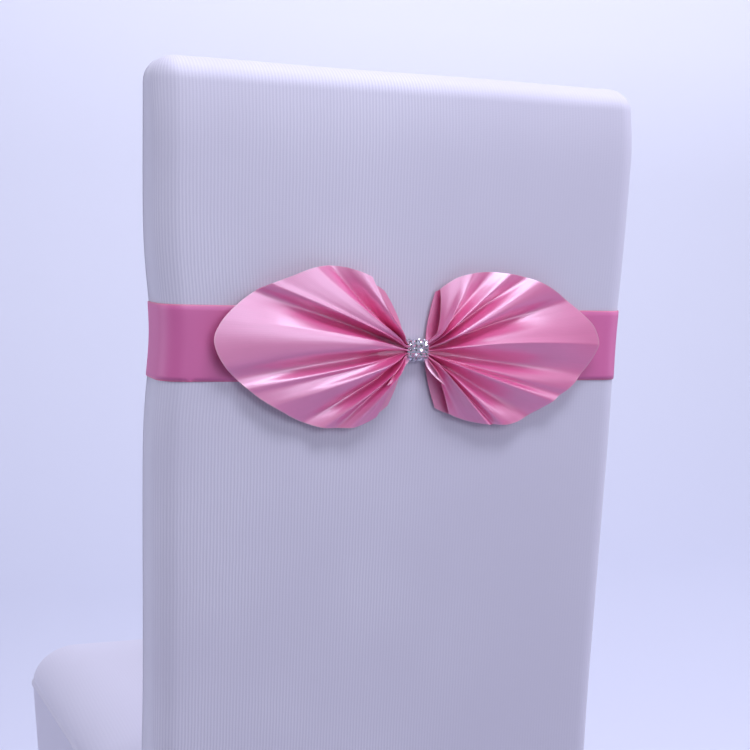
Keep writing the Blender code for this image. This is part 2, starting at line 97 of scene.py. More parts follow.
SASH_PINCH_RIGHT = 0.0018
SASH_PINCH_SPAN = 0.0475
SASH_PINCH_RAISE = 0.0065
GATHER_REACH = 0.075
GATHER_HALF_HEIGHT = 0.0055
GATHER_LIFT = 0.0019
RING_X = 0.0064
RING_Z = -0.2101
RING_LENGTH = 0.0172
RING_HEIGHT = 0.0176
RING_DEPTH = 0.0096
RING_ROUND = 0.0030
RING_BARREL = 0.94
RING_STANDOFF = 0.0005
print("cover:", round(2 * BACK_HALF_WIDTH, 3), "m wide at the top,",
      round(COVER_TOP - HEM_LEVEL, 3), "m tall")


# %% How the backrest bends whatever lies on it
def smoothstep(value):
    """Ease from 0 to 1 while value goes from 0 to 1."""
    value = min(max(value, 0.0), 1.0)
    return value * value * (3.0 - 2.0 * value)


def half_width(level):
    """Half the width of the backrest, narrowing downward and flaring towards the hem."""
    flare = HEM_FLARE * smoothstep((-level - FLARE_START) / FLARE_RUN)
    return BACK_HALF_WIDTH + BACK_TAPER * level + flare


def lean(level):
    """How far the leaning backrest has come forward at this level; it is upright under the seat."""
    return BACK_LEAN * min(-level, -SEAM_LEVEL)


def pinch(x, level):
    """How far the tight sash draws the cover in at its sides."""
    depth = SASH_PINCH_LEFT if x < 0 else SASH_PINCH_RIGHT
    return depth * math.exp(-((level - SASH_LEVEL - SASH_PINCH_RAISE) / SASH_PINCH_SPAN) ** 2)


def bulge(x, level, depth):
    """Soft crown of the padded back, which is nothing at its edges and at the seat."""
    across = 1.0 - min(abs(x) / BACK_HALF_WIDTH, 1.0) ** 2
    along = math.sin(math.pi * min(max(-level / BULGE_HEIGHT, 0.0), 1.0))
    return depth * across * along


def back_face(x, level):
    """Y of the outer face of the cover's back."""
    return -BACK_DEPTH / 2 + lean(level) - bulge(x, level, BACK_BULGE)


def soften_top(y, level):
    """Roll the back's top edge further forward than its upright edges, over soft padding."""
    if y >= 0:
        return y
    near_top = smoothstep(1.0 + level / TOP_SOFT_HEIGHT)
    roll = max(min(y + BACK_DEPTH / 2, BACK_ROUND), 0.0) * (TOP_SOFTNESS - 1.0) * near_top
    padding = PADDING_ROLL * max(1.0 + level / PADDING_HEIGHT, 0.0) ** 2
    return y + roll + padding * min(-y / (BACK_DEPTH / 2), 1.0)


def dress(point):
    """Move a point of the plain block to where it lies on the tapered, leaning backrest."""
    x, y, z = point
    y = soften_top(y, z)
    width = (half_width(z) - pinch(x, z)) / BACK_HALF_WIDTH
    frontward = max(y, 0.0) / (BACK_DEPTH / 2)
    backward = max(-y, 0.0) / (BACK_DEPTH / 2)
    crown = frontward * bulge(x, z, FRONT_BULGE) - backward * bulge(x, z, BACK_BULGE)
    return Vector((x * width, y + lean(z) + crown, z))


print("backrest, half width at the sash:", round(half_width(SASH_LEVEL), 4), "m")

# %% [markdown]
# ## The camera first
# The photograph was taken from behind the chair, a little to its left, at the height of the sash and
# looking slightly down. Its place and turn were fitted to the outline of the backrest, so the camera
# is written as a place, three turns and a lens, and its matrix is worked out from those.

# %% Camera at the photograph's viewing angle
CAMERA_PLACE = Vector((-0.4181, -1.0396, -0.1344))
CAMERA_YAW = math.radians(21.1303)
CAMERA_PITCH = math.radians(4.9833)
CAMERA_ROLL = math.radians(1.7501)
FOCAL_PIXELS = 1438.8878
PHOTO_SIDE = 750
SENSOR_MM = 36.0


def make_camera():
    """A camera whose axes come from its yaw, pitch and roll."""
    ahead = Vector((math.sin(CAMERA_YAW) * math.cos(CAMERA_PITCH),
                    math.cos(CAMERA_YAW) * math.cos(CAMERA_PITCH),
                    -math.sin(CAMERA_PITCH)))
    level_right = Vector((math.cos(CAMERA_YAW), -math.sin(CAMERA_YAW), 0.0))
    level_up = level_right.cross(ahead)
    right = math.cos(CAMERA_ROLL) * level_right + math.sin(CAMERA_ROLL) * level_up
    up = -math.sin(CAMERA_ROLL) * level_right + math.cos(CAMERA_ROLL) * level_up
    turn = Matrix((right, up, -ahead)).transposed().to_4x4()
    data = bpy.data.cameras.new("photo_camera")
    data.sensor_width = SENSOR_MM
    data.lens = FOCAL_PIXELS * SENSOR_MM / PHOTO_SIDE
    camera = bpy.data.objects.new("photo_camera", data)
    camera.matrix_world = Matrix.Translation(CAMERA_PLACE) @ turn
    bpy.context.scene.collection.objects.link(camera)
    bpy.context.scene.camera = camera
    return camera


photo_camera = make_camera()
print("camera lens:", round(photo_camera.data.lens, 2), "mm")

# %% [markdown]
# ## Small helpers
# Materials are node trees, and one function adds a node: its plain settings are keyword arguments,
# and its sockets are given by name or number, either as a value or as the output that feeds them. A
# bmesh is cut by planes and extruded along its edges, and one function turns it into a named object.

# %% Helpers for materials
def linear(code):
    """Linear colour, with alpha, of an sRGB hex code."""
    parts = [int(code[place:place + 2], 16) / 255 for place in (1, 3, 5)]
    flat = [part / 12.92 if part <= 0.04045 else ((part + 0.055) / 1.055) ** 2.4 for part in parts]
    return (*flat, 1.0)


def add_node(tree, kind, sockets=None, **settings):
    """Add a node with its settings, and set or link its sockets."""
    node = tree.nodes.new(kind)
    for name, value in settings.items():
        setattr(node, name, value)
    for socket, value in (sockets or {}).items():
        if isinstance(value, bpy.types.NodeSocket):
            tree.links.new(value, node.inputs[socket])
        else:
            node.inputs[socket].default_value = value
    return node


def start_material(name):
    """An empty node material and its tree."""
    material = bpy.data.materials.new(name)
    material.use_nodes = True
    material.node_tree.nodes.clear()
    return material, material.node_tree


print("mid grey, made linear:", round(linear("#808080")[0], 3))


# %% Helpers for pieces
def slice_form(form, position, normal, clear=None):
    """Cut a bmesh with a plane; clear "above" or "below" drops that side of it."""
    bmesh.ops.bisect_plane(
        form, geom=list(form.verts) + list(form.edges) + list(form.faces),
        plane_co=position, plane_no=normal,
        clear_outer=clear == "above", clear_inner=clear == "below")


def edges_in(results):
    """The edges among an operator's results."""
    return [item for item in results if isinstance(item, bmesh.types.BMEdge)]


def extrude_edges(form, edges):
    """Extrude edges where they lie, and return the new edges and their points."""
    results = bmesh.ops.extrude_edge_only(form, edges=edges)["geom"]
    return edges_in(results), [item for item in results if isinstance(item, bmesh.types.BMVert)]


def point_values(form, *names):
    """New attributes that hold one number for each point."""
    return [form.verts.layers.float.new(name) for name in names]


def link_object(name, form, materials, smooth=True):
    """Turn a bmesh into an object of the scene."""
    mesh = bpy.data.meshes.new(name)
    form.to_mesh(mesh)
    form.free()
    for material in materials:
        mesh.materials.append(material)
    if smooth:
        mesh.shade_smooth()
    made = bpy.data.objects.new(name, mesh)
    bpy.context.scene.collection.objects.link(made)
    return made


def make_piece(name, form, materials, node, smooth=True):
    """Turn a bmesh into a finished piece that stands for one node of the frame."""
    for edge in form.edges:
        edge.smooth = edge.smooth and not edge.is_boundary
    piece = link_object(name, form, materials, smooth)
    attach(piece, "root")
    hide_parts(node)
    return piece


def thicken(piece, thickness, side, rim=0):
    """Give an open surface its cloth thickness: side -1 puts it inside, 1 outside."""
    wall = piece.modifiers.new("cloth", "SOLIDIFY")
    wall.thickness = thickness
    wall.offset = side
    wall.material_offset_rim = rim


def tell(piece, copies=1):
    """Print a cloth's points and its open area."""
    area = copies * sum(face.area for face in piece.data.polygons)
    print(piece.name + ":", len(piece.data.vertices), "points,", round(area, 4), "m2")

# %% [markdown]
# ## Stretch knit
# The cover is a warp-knitted polyester with a little elastane. Pulled over the chair it is smooth,
# and its fine wales stand as upright ribs. They are under a millimetre apart, too fine for the
# picture, so they are drawn as the coarser lines that the eye sees where wales and light beat
# together, about 2.6 mm apart. Their darker lines are painted shade, the shade between ribs put
# into the colour, stronger on the left half of the back and weaker on the inner back, the skirt and
# the seat. The pattern follows two attributes, the metres across the wales and along them, because
# the cloth turns round corners.

# %% Stretch knit for the cover
# KNIT_SHADE is painted shade: the colour of the lines between the ribs.
KNIT_WHITE = "#E4E2EB"
KNIT_SHADE = "#D5D2DE"
KNIT_LINE_MM = 2.6
KNIT_COURSE_MM = 1.3
KNIT_PATCH_MM = 95.0
WAVE_PERIOD = 2 * math.pi / 20


def knit_material():
    """White polyester warp knit: matt, softly furred, with upright ribs whose shade is painted as darker
    lines.
    """
    material, tree = start_material("white_polyester_warp_knit")
    across = add_node(tree, "ShaderNodeAttribute", attribute_name="across")
    along = add_node(tree, "ShaderNodeAttribute", attribute_name="along")
    flat = add_node(tree, "ShaderNodeCombineXYZ", {"X": across.outputs["Fac"], "Y": along.outputs["Fac"]})
    ribs = add_node(tree, "ShaderNodeTexWave", {
        "Vector": flat.outputs["Vector"], "Scale": WAVE_PERIOD / (KNIT_LINE_MM * MM),
        "Distortion": 1.4, "Detail": 2.0, "Detail Scale": 0.35}, bands_direction="X")
    courses = add_node(tree, "ShaderNodeTexWave", {
        "Vector": flat.outputs["Vector"], "Scale": WAVE_PERIOD / (KNIT_COURSE_MM * MM),
        "Distortion": 2.0, "Detail": 1.0, "Detail Scale": 1.0}, bands_direction="Y")
    place = add_node(tree, "ShaderNodeTexCoord")
    patches = add_node(tree, "ShaderNodeTexNoise", {
        "Vector": place.outputs["Object"], "Scale": 1 / (KNIT_PATCH_MM * MM), "Detail": 1.5})
    spot = add_node(tree, "ShaderNodeSeparateXYZ", {"Vector": place.outputs["Object"]})
    # Painted shade of the ribs: stronger on the left half of the back and in patches, and each piece scales
    # it by its own amount.
    fade = add_node(tree, "ShaderNodeMapRange", {
        "Value": spot.outputs["X"], "From Min": 0.10, "From Max": -0.06, "To Min": 0.25, "To Max": 1.0},
        interpolation_type="SMOOTHSTEP")
    patchy = add_node(tree, "ShaderNodeMapRange", {
        "Value": patches.outputs["Fac"], "From Min": 0.35, "From Max": 0.65, "To Min": 0.45, "To Max": 1.0})
    strength = add_node(tree, "ShaderNodeMath", {
        0: fade.outputs["Result"], 1: patchy.outputs["Result"]}, operation="MULTIPLY")
    ribs_and_shade = add_node(tree, "ShaderNodeAttribute", attribute_name="ribs_and_shade")
    ribs_and_shade_strength = add_node(tree, "ShaderNodeMath", {
        0: ribs_and_shade.outputs["Fac"], 1: strength.outputs["Value"]}, operation="MULTIPLY")
    ribs_and_shade_shown = add_node(tree, "ShaderNodeMath", {
        0: ribs.outputs["Fac"], 1: ribs_and_shade_strength.outputs["Value"]}, operation="MULTIPLY")
    colour = add_node(tree, "ShaderNodeMix", {
        "Factor": ribs_and_shade_shown.outputs["Value"], "A": linear(KNIT_SHADE), "B": linear(KNIT_WHITE)},
        data_type="RGBA")
    height = add_node(tree, "ShaderNodeMath", {
        0: courses.outputs["Fac"], 1: 0.25, 2: ribs_and_shade_shown.outputs["Value"]}, operation="MULTIPLY_ADD")
    bump = add_node(tree, "ShaderNodeBump", {
        "Strength": 0.35, "Distance": 0.00025, "Height": height.outputs["Value"]})
    shader = add_node(tree, "ShaderNodeBsdfPrincipled", {
        "Base Color": colour.outputs["Result"], "Roughness": 0.62, "Specular IOR Level": 0.35,
        "Sheen Weight": 0.25, "Sheen Roughness": 0.45, "Normal": bump.outputs["Normal"]})
    add_node(tree, "ShaderNodeOutputMaterial", {"Surface": shader.outputs["BSDF"]})
    return material


knit = knit_material()
print("material:", knit.name)

# %% [markdown]
# ## Satin
# The sash and the bow are polyester satin: long weft floats lie side by side, so the cloth has a
# strong soft gloss, brighter across the threads than along them, over a deep pink. Hollows between
# pleats see only other pink cloth and turn crimson by themselves. The threads are drawn as fine lines
# 0.9 mm apart, coarser than real ones, and the heat-cut edge is a little darker and harder.

# %% Satin for the bow, and a flatter one for the ribbon
BOW_PINK = "#F84E9C"
BOW_PINK_DEEP = "#EC428E"
RIBBON_PINK = "#DE6CA4"
EDGE_PINK = "#F08CA4"
CUT_LINE_MM = 1.3
GLOSS_TINT = "#EEE2FC"
THREAD_MM = 0.9


def satin_material(name, colour, deep, roughness, gloss):
    """Polyester satin whose threads run along the cloth."""
    material, tree = start_material(name)
    across = add_node(tree, "ShaderNodeAttribute", attribute_name="across")
    along = add_node(tree, "ShaderNodeAttribute", attribute_name="along")
    flat = add_node(tree, "ShaderNodeCombineXYZ", {"X": along.outputs["Fac"], "Y": across.outputs["Fac"]})
    threads = add_node(tree, "ShaderNodeTexWave", {
        "Vector": flat.outputs["Vector"], "Scale": WAVE_PERIOD / (THREAD_MM * MM),
        "Distortion": 0.6, "Detail": 1.0, "Detail Scale": 0.3}, bands_direction="Y")
    slubs = add_node(tree, "ShaderNodeMapping", {
        "Vector": flat.outputs["Vector"], "Scale": (60.0, 900.0, 1.0)})
    cloudy = add_node(tree, "ShaderNodeTexNoise", {
        "Vector": slubs.outputs["Vector"], "Scale": 1.0, "Detail": 3.0})
    tone = add_node(tree, "ShaderNodeMix", {
        "Factor": cloudy.outputs["Fac"], "A": linear(deep), "B": linear(colour)}, data_type="RGBA")
    inset = add_node(tree, "ShaderNodeAttribute", attribute_name="inset")
    cut = add_node(tree, "ShaderNodeMapRange", {
        "Value": inset.outputs["Fac"], "From Min": CUT_LINE_MM * MM, "To Min": 0.0, "From Max": 0.0,
        "To Max": 0.8})
    edged = add_node(tree, "ShaderNodeMix", {
        "Factor": cut.outputs["Result"], "A": tone.outputs["Result"], "B": linear(EDGE_PINK)},
        data_type="RGBA")
    bump = add_node(tree, "ShaderNodeBump", {
        "Strength": 0.12, "Distance": 0.00012, "Height": threads.outputs["Fac"]})
    shader = add_node(tree, "ShaderNodeBsdfPrincipled", {
        "Base Color": edged.outputs["Result"], "Roughness": roughness, "Specular IOR Level": gloss,
        "IOR": 2.0, "Specular Tint": linear(GLOSS_TINT), "Coat Weight": gloss,
        "Coat Roughness": roughness, "Coat IOR": 2.7, "Normal": bump.outputs["Normal"],
        "Coat Normal": bump.outputs["Normal"]})
    add_node(tree, "ShaderNodeOutputMaterial", {"Surface": shader.outputs["BSDF"]})
    return material


def edge_material():
    """Heat-cut edge of the satin: fused threads, smoother and more solid in colour."""
    material, tree = start_material("heat_cut_satin_edge")
    place = add_node(tree, "ShaderNodeTexCoord")
    melt = add_node(tree, "ShaderNodeTexNoise", {
        "Vector": place.outputs["Object"], "Scale": 700.0, "Detail": 2.0})
    tone = add_node(tree, "ShaderNodeMix", {
        "Factor": melt.outputs["Fac"], "A": linear(EDGE_PINK), "B": linear(BOW_PINK)}, data_type="RGBA")
    shader = add_node(tree, "ShaderNodeBsdfPrincipled", {
        "Base Color": tone.outputs["Result"], "Roughness": 0.45})
    add_node(tree, "ShaderNodeOutputMaterial", {"Surface": shader.outputs["BSDF"]})
    return material


bow_satin = satin_material("pink_polyester_satin", BOW_PINK, BOW_PINK_DEEP, 0.45, 1.0)
ribbon_satin = satin_material("pink_satin_ribbon", RIBBON_PINK, RIBBON_PINK, 0.55, 0.20)
satin_edge = edge_material()
print("materials:", bow_satin.name, ribbon_satin.name, satin_edge.name)

# %% [markdown]
# ## Rhinestones and their silver
# The ring is a silver-plated cup chain: rows of little metal cups that each hold a clear stone with
# a foiled back. Foil makes the stone act as a mirror with flat facets, so the stones are metal-like
# with almost no roughness, and the cups are plated brass, a little rougher and darker.

# %% Stone and silver
def metal_material(name, colour, roughness, mottle):
    """Plated metal or foiled stone, with its roughness a little uneven."""
    material, tree = start_material(name)
    place = add_node(tree, "ShaderNodeTexCoord")
    wear = add_node(tree, "ShaderNodeTexNoise", {
        "Vector": place.outputs["Object"], "Scale": 900.0, "Detail": 2.0})
    rough = add_node(tree, "ShaderNodeMapRange", {
        "Value": wear.outputs["Fac"], "To Min": roughness, "To Max": roughness + mottle})
    shader = add_node(tree, "ShaderNodeBsdfPrincipled", {
        "Base Color": linear(colour), "Metallic": 1.0, "Roughness": rough.outputs["Result"]})
    add_node(tree, "ShaderNodeOutputMaterial", {"Surface": shader.outputs["BSDF"]})
    return material


stone_finish = metal_material("foiled_glass_rhinestone", "#F8F8FC", 0.05, 0.10)
silver_finish = metal_material("silver_plated_brass", "#D4D5DE", 0.30, 0.20)
print("materials:", stone_finish.name, silver_finish.name)

# %% [markdown]
# ## The back panel
# One cloth makes the outer back, wraps the top and both sides, and hangs to the hem. It starts as a
# cube whose edges are bevelled round, cut by planes into rows and columns fine enough to bend, and
# then each point is dressed onto the backrest. Two attributes are written first, while the block is
# still straight: how far each point is across the wales, unrolled round the corners, and along them.

# %% Block of the covered backrest
ROUND_STEPS = 9
FRONT_ROUND_STEPS = 4
COLUMN_PITCH = 0.012
ROW_PITCH = 0.010
SWAY = 0.0006
SWAY_WAVES = Vector((9.0, 9.0, 6.0))


def side_seam():
    """Y, before the lean, where the back panel ends and the front panel begins."""
    return BACK_DEPTH / 2 - FRONT_ROUND - SEAM_ALLOWANCE


def fine_block(grow, column_pitch, levels):
    """Rounded block in the outer shape of the covered backrest, cut at each level and column."""
    top = COVER_TOP + grow
    height = top - HEM_LEVEL + ROW_PITCH
    form = bmesh.new()
    bmesh.ops.create_cube(form, size=1.0)
    bmesh.ops.scale(form, vec=(2 * (BACK_HALF_WIDTH + grow), BACK_DEPTH + 2 * grow, height),
                    verts=form.verts)
    bmesh.ops.translate(form, vec=(0, 0, top - height / 2), verts=form.verts)
    soft_edges = []
    for edge in form.edges:
        middle = (edge.verts[0].co + edge.verts[1].co) / 2
        at_top = middle.z > top - grow - SEAM_GAP
        upright = abs(edge.verts[0].co.z - edge.verts[1].co.z) > height / 2
        if (at_top and middle.y < BACK_DEPTH / 2 - SEAM_GAP) or (upright and middle.y < -SEAM_GAP):
            soft_edges.append(edge)
    bmesh.ops.bevel(
        form, geom=soft_edges, offset=BACK_ROUND + grow, offset_type="OFFSET",
        segments=ROUND_STEPS, profile=0.5, affect="EDGES", material=-1)
    front_face = max(form.faces, key=lambda face: face.calc_center_median().y)
    front_edges = [edge for edge in front_face.edges
                   if max(edge.verts[0].co.z, edge.verts[1].co.z) > HEM_LEVEL]
    bmesh.ops.bevel(
        form, geom=front_edges, offset=FRONT_ROUND + grow, offset_type="OFFSET",
        segments=FRONT_ROUND_STEPS, profile=0.5, affect="EDGES", material=-1)
    columns = int((BACK_HALF_WIDTH - BACK_ROUND) / column_pitch)
    for column in range(-columns, columns + 1):
        slice_form(form, (column * column_pitch, 0, 0), (1, 0, 0))
    for level in levels:
        slice_form(form, (0, 0, level), (0, 0, 1))
    return form


print("side seam, before the lean:", round(side_seam(), 4), "m")

# %% [markdown]
# ## Which way the wales run
# A knit's ribs follow the cloth round its corners, so the pattern can't use plain X, Y and Z. Each
# point stores how far it lies across and along the cloth, and how strongly its ribs and their painted
# shade show. Stretched cloth is never quite flat over padding, so a slow noise moves it by up to half
# a millimetre.

# %% Weave and give of the cloth
def unrolled(x, y):
    """Metres across the cloth from the middle of the back, round the rounded upright edge."""
    flat = BACK_HALF_WIDTH - BACK_ROUND
    turn_start = -BACK_DEPTH / 2 + BACK_ROUND
    if abs(x) <= flat:
        return x
    if y >= turn_start:
        run = flat + BACK_ROUND * math.pi / 2 + y - turn_start
    else:
        run = flat + BACK_ROUND * math.atan2(abs(x) - flat, turn_start - y)
    return math.copysign(run, x)


def write_weave(form, across_of, along_of, ribs_and_shade=1.0):
    """Store on each point how far it lies across and along the cloth, and how strongly its ribs and their
    painted shade show.
    """
    across, along, ribbed = point_values(form, "across", "along", "ribs_and_shade")
    for vertex in form.verts:
        vertex[across] = across_of(vertex.co)
        vertex[along] = along_of(vertex.co)
        vertex[ribbed] = ribs_and_shade


def sway(point):
    """Small uneven give of cloth over padding, in metres."""
    return SWAY * noise.noise(point * SWAY_WAVES)


def dress_all(form):
    """Give every point of a block its place on the backrest, with a little give in the cloth."""
    for vertex in form.verts:
        vertex.co = dress(vertex.co)
    bmesh.ops.recalc_face_normals(form, faces=form.faces)
    for vertex in form.verts:
        vertex.co += vertex.normal * sway(vertex.co)


print("cloth from the middle to a side:", round(unrolled(BACK_HALF_WIDTH, 0.0), 4), "m")

# %% [markdown]
# ## Seams and hem
# A sewn seam turns its cut edge inward, and a hem is folded up and stitched, so it is two cloths
# thick and dips along the stitches. Extruding the open edges inward gives the seam its round lip, and
# a few rows close together carry the dip.

# %% Seams and hem
SEAM_TURN = 0.0035
HEM_TURN = 0.020
HEM_STEP = 0.0006
HEM_LINE = 0.0022


def turn_seam(form, lowest):
    """Turn the cloth's open edge inward above a level, as a sewn seam does."""
    rim = [edge for edge in form.edges if edge.is_boundary
           and max(vertex.co.z for vertex in edge.verts) > lowest + SEAM_GAP]
    inward = {vertex: vertex.normal.copy() for edge in rim for vertex in edge.verts}
    for vertex in extrude_edges(form, rim)[1]:
        near = min(inward, key=lambda old: (old.co - vertex.co).length_squared)
        vertex.co -= inward[near] * SEAM_TURN


def rows_between(low, high, pitch):
    """Evenly spaced levels from low to high, both left out."""
    steps = max(int((high - low) / pitch), 1)
    return [low + (high - low) * step / steps for step in range(1, steps)]


def hem_offset(level):
    """A turned-up hem is two cloths thick and dips where it is stitched."""
    over = HEM_LEVEL + HEM_TURN - level
    step = HEM_STEP if over > 0 else 0.0
    return step - HEM_STEP * math.exp(-(over / HEM_LINE) ** 2)


def hem_levels():
    """Rows close together round the hem's stitching."""
    return [HEM_LEVEL + HEM_TURN + HEM_LINE * step for step in (-2.0, -1.0, 0.0, 1.0, 2.0)]


print("rows at the hem:", [round(level, 4) for level in hem_levels()])

# %% [markdown]
# ## Two panels from one block
# Both panels are the same block cut at the side seam, so their edges meet all the way up. The back
# keeps the wrapped sides and the top, the inner back keeps the padded face down to the seat.

# %% Back panel and inner back
COVER_CLOTH = 0.0012
INNER_BACK_RIBS_AND_SHADE = 0.5


def make_back_panel():
    """Outer back with its wrapped top and sides, from the side seams round to each other."""
    levels = rows_between(HEM_LEVEL, COVER_TOP, ROW_PITCH) + hem_levels()
    form = fine_block(0.0, COLUMN_PITCH, levels)
    slice_form(form, (0, side_seam(), 0), (0, 1, 0), "above")
    slice_form(form, (0, 0, HEM_LEVEL), (0, 0, 1), "below")
    write_weave(form, lambda co: unrolled(co.x, co.y), lambda co: co.z)
    dress_all(form)
    for vertex in form.verts:
        vertex.co += vertex.normal * hem_offset(vertex.co.z)
    turn_seam(form, HEM_LEVEL)
    panel = make_piece("cover_back", form, [knit], "back_panel")
    tell(panel)
    thicken(panel, COVER_CLOTH, -1)
    return panel


def make_front_panel():
    """Inner back: the padded face towards the sitter, down to the seat."""
    levels = rows_between(SEAM_LEVEL, COVER_TOP, ROW_PITCH)
    form = fine_block(0.0, COLUMN_PITCH, levels)
    slice_form(form, (0, side_seam() + SEAM_GAP, 0), (0, 1, 0), "below")
    slice_form(form, (0, 0, SEAM_LEVEL), (0, 0, 1), "below")
    write_weave(form, lambda co: co.x, lambda co: co.z, INNER_BACK_RIBS_AND_SHADE)
    dress_all(form)
    turn_seam(form, SEAM_LEVEL)
    panel = make_piece("cover_inner_back", form, [knit], "front_panel")
    tell(panel)
    thicken(panel, COVER_CLOTH, -1)
    return panel


cover_back = make_back_panel()
cover_inner_back = make_front_panel()

# %% [markdown]
# ## The seat panel and the skirt
# The seat is a crowned grid with round front corners, pulled tight and sewn to a skirt that falls to
# the floor. The skirt hangs free, so it falls in slack upright folds that deepen towards the hem. Both
# are the right half of the piece, completed by a Mirror, and thickened inward.

# %% Plan of the seat and skirt
SIDE_STEPS = 26
SIDE_EASE = 1.5
CORNER_STEPS = 14
FRONT_STEPS = 16
SEAT_CORNER_Y = SEAT_FRONT - SEAT_CORNER


def hem_share(level):
    """0 at the seat's seam, 1 at the hem."""
    return (SEAM_LEVEL - level) / (SEAM_LEVEL - HEM_LEVEL)


def seat_half(run, level):
    """Half the width of the seat or skirt, run metres in front of the back panel's side seam."""
    length = SEAT_FRONT - side_seam() - lean(SEAM_LEVEL)
    share = hem_share(level)
    seat = SEAT_HALF_REAR + (SEAT_HALF_FRONT - SEAT_HALF_REAR) * run / length
    draw = SKIRT_DRAW * share + SKIRT_HOLLOW * math.sin(math.pi * share) * math.sin(math.pi * run / length)
    blend = smoothstep(run / SEAT_BLEND)
    return half_width(level) * (1.0 - blend) + (seat - draw) * blend


def seat_front(x, level):
    """Y of the seat's or skirt's front, drawn in towards the hem and hollow between the corners."""
    share = hem_share(level)
    hollow = SKIRT_HOLLOW * math.sin(math.pi * share) * math.cos(math.pi * x / (2 * SEAT_HALF_FRONT))
    return SEAT_FRONT - SKIRT_DRAW * share - hollow


def seat_half_at(y):
    """Half the width of the seat's rim at this Y, before the front corner turns."""
    return seat_half(min(y, SEAT_CORNER_Y) - side_seam() - lean(SEAM_LEVEL), SEAM_LEVEL)


def skirt_outline(level):
    """Right half of the skirt's plan at one level, from the rear seam to the middle of the front."""
    rear = side_seam() + lean(level) + SEAM_GAP
    corner_y = seat_front(SEAT_HALF_FRONT, level) - SEAT_CORNER
    points = []
    for step in range(SIDE_STEPS):
        share = (step / SIDE_STEPS) ** SIDE_EASE
        y = rear + (corner_y - rear) * share
        points.append(Vector((seat_half(y - rear, level), y, level)))
    corner_x = seat_half(corner_y - rear, level) - SEAT_CORNER
    for step in range(CORNER_STEPS):
        turn = math.pi / 2 * step / CORNER_STEPS
        points.append(Vector((corner_x + SEAT_CORNER * math.cos(turn),
                              corner_y + SEAT_CORNER * math.sin(turn), level)))
    for step in range(FRONT_STEPS + 1):
        x = corner_x * (1.0 - step / FRONT_STEPS)
        y = seat_front(x, level) - seat_front(corner_x, level) + corner_y + SEAT_CORNER
        points.append(Vector((x, y, level)))
    return points


print("seat, half its width at the corner:", round(seat_half_at(SEAT_CORNER_Y), 4), "m")

# %% [markdown]
# ## How the skirt falls
# Slack cloth that hangs from a seam falls in upright folds. They start at nothing, deepen towards the
# hem, and are uneven, so a cosine round the skirt is given a wandering phase and a wandering depth.
# They only go inward, because the seat holds the cloth out and there is room under it.

# %% Folds of the skirt
FOLD_DEPTH = 0.0065
FOLD_LENGTH = 0.083
FOLD_WANDER = 1.3
FOLD_DROP_EASE = 1.2
FOLD_EVEN_SHARE = 0.6
REAR_HOLD = 0.05
FRONT_HOLD = 0.03


def runs_of(points):
    """Distance of each point from the first, along the line through them."""
    runs = [0.0]
    for before, after in zip(points, points[1:]):
        runs.append(runs[-1] + (after - before).length)
    return runs


def fold_offset(run, length, level):
    """Slack folds of the hanging skirt: none at its seams, deeper towards the hem."""
    share = hem_share(level)
    ends = smoothstep(run / REAR_HOLD) * smoothstep((length - run) / FRONT_HOLD)
    wander = FOLD_WANDER * noise.noise(Vector((run * 7.0, level * 2.0, 0.4)))
    phase = 2 * math.pi * run / FOLD_LENGTH + wander
    deep = FOLD_EVEN_SHARE + FOLD_EVEN_SHARE * noise.noise(Vector((run * 5.0, 3.1, level)))
    return -FOLD_DEPTH * ends * share ** FOLD_DROP_EASE * deep * (1.0 - math.cos(phase)) / 2


print("half the way round the hem:", round(runs_of(skirt_outline(HEM_LEVEL))[-1], 3), "m")

# %% [markdown]
# ## The skirt
# One row of points is laid round the seat's seam, and its edges are extruded down row by row, each
# row in its own plan and folds. A cloth simulation could drape it too. A formula was chosen, because
# it keeps to the frame's own plan at every level.

# %% Skirt
SKIRT_ROWS = 44
SKIRT_RIBS_AND_SHADE = 0.3
MERGE_DISTANCE = 0.0001


def face_outward(form):
    """Turn the faces of the right half of a piece away from the chair's middle."""
    inside = Vector((0.0, SEAT_FRONT / 2, SEAM_LEVEL - SEAT_ROLL))
    bmesh.ops.recalc_face_normals(form, faces=form.faces)
    total = sum((face.calc_center_median() - inside).dot(face.normal) * face.calc_area()
                for face in form.faces)
    if total < 0:
        bmesh.ops.reverse_faces(form, faces=form.faces)


def mirror_half(piece):
    """Complete a piece that is modelled as its right half."""
    twin = piece.modifiers.new("other_half", "MIRROR")
    twin.merge_threshold = MERGE_DISTANCE
    twin.use_clip = True


def skirt_row(level):
    """Points of the skirt at one level with its folds, and how far each is round it."""
    plain = skirt_outline(level)
    runs = runs_of(plain)
    placed = []
    for index, point in enumerate(plain):
        before = plain[max(index - 1, 0)]
        after = plain[min(index + 1, len(plain) - 1)]
        ahead = (after - before).normalized()
        outward = Vector((ahead.y, -ahead.x, 0.0))
        if index == len(plain) - 1:
            outward = Vector((0.0, 1.0, 0.0))
        offset = fold_offset(runs[index], runs[-1], level) + hem_offset(level)
        placed.append(point + outward * offset)
    placed[-1].x = 0.0
    return placed, runs


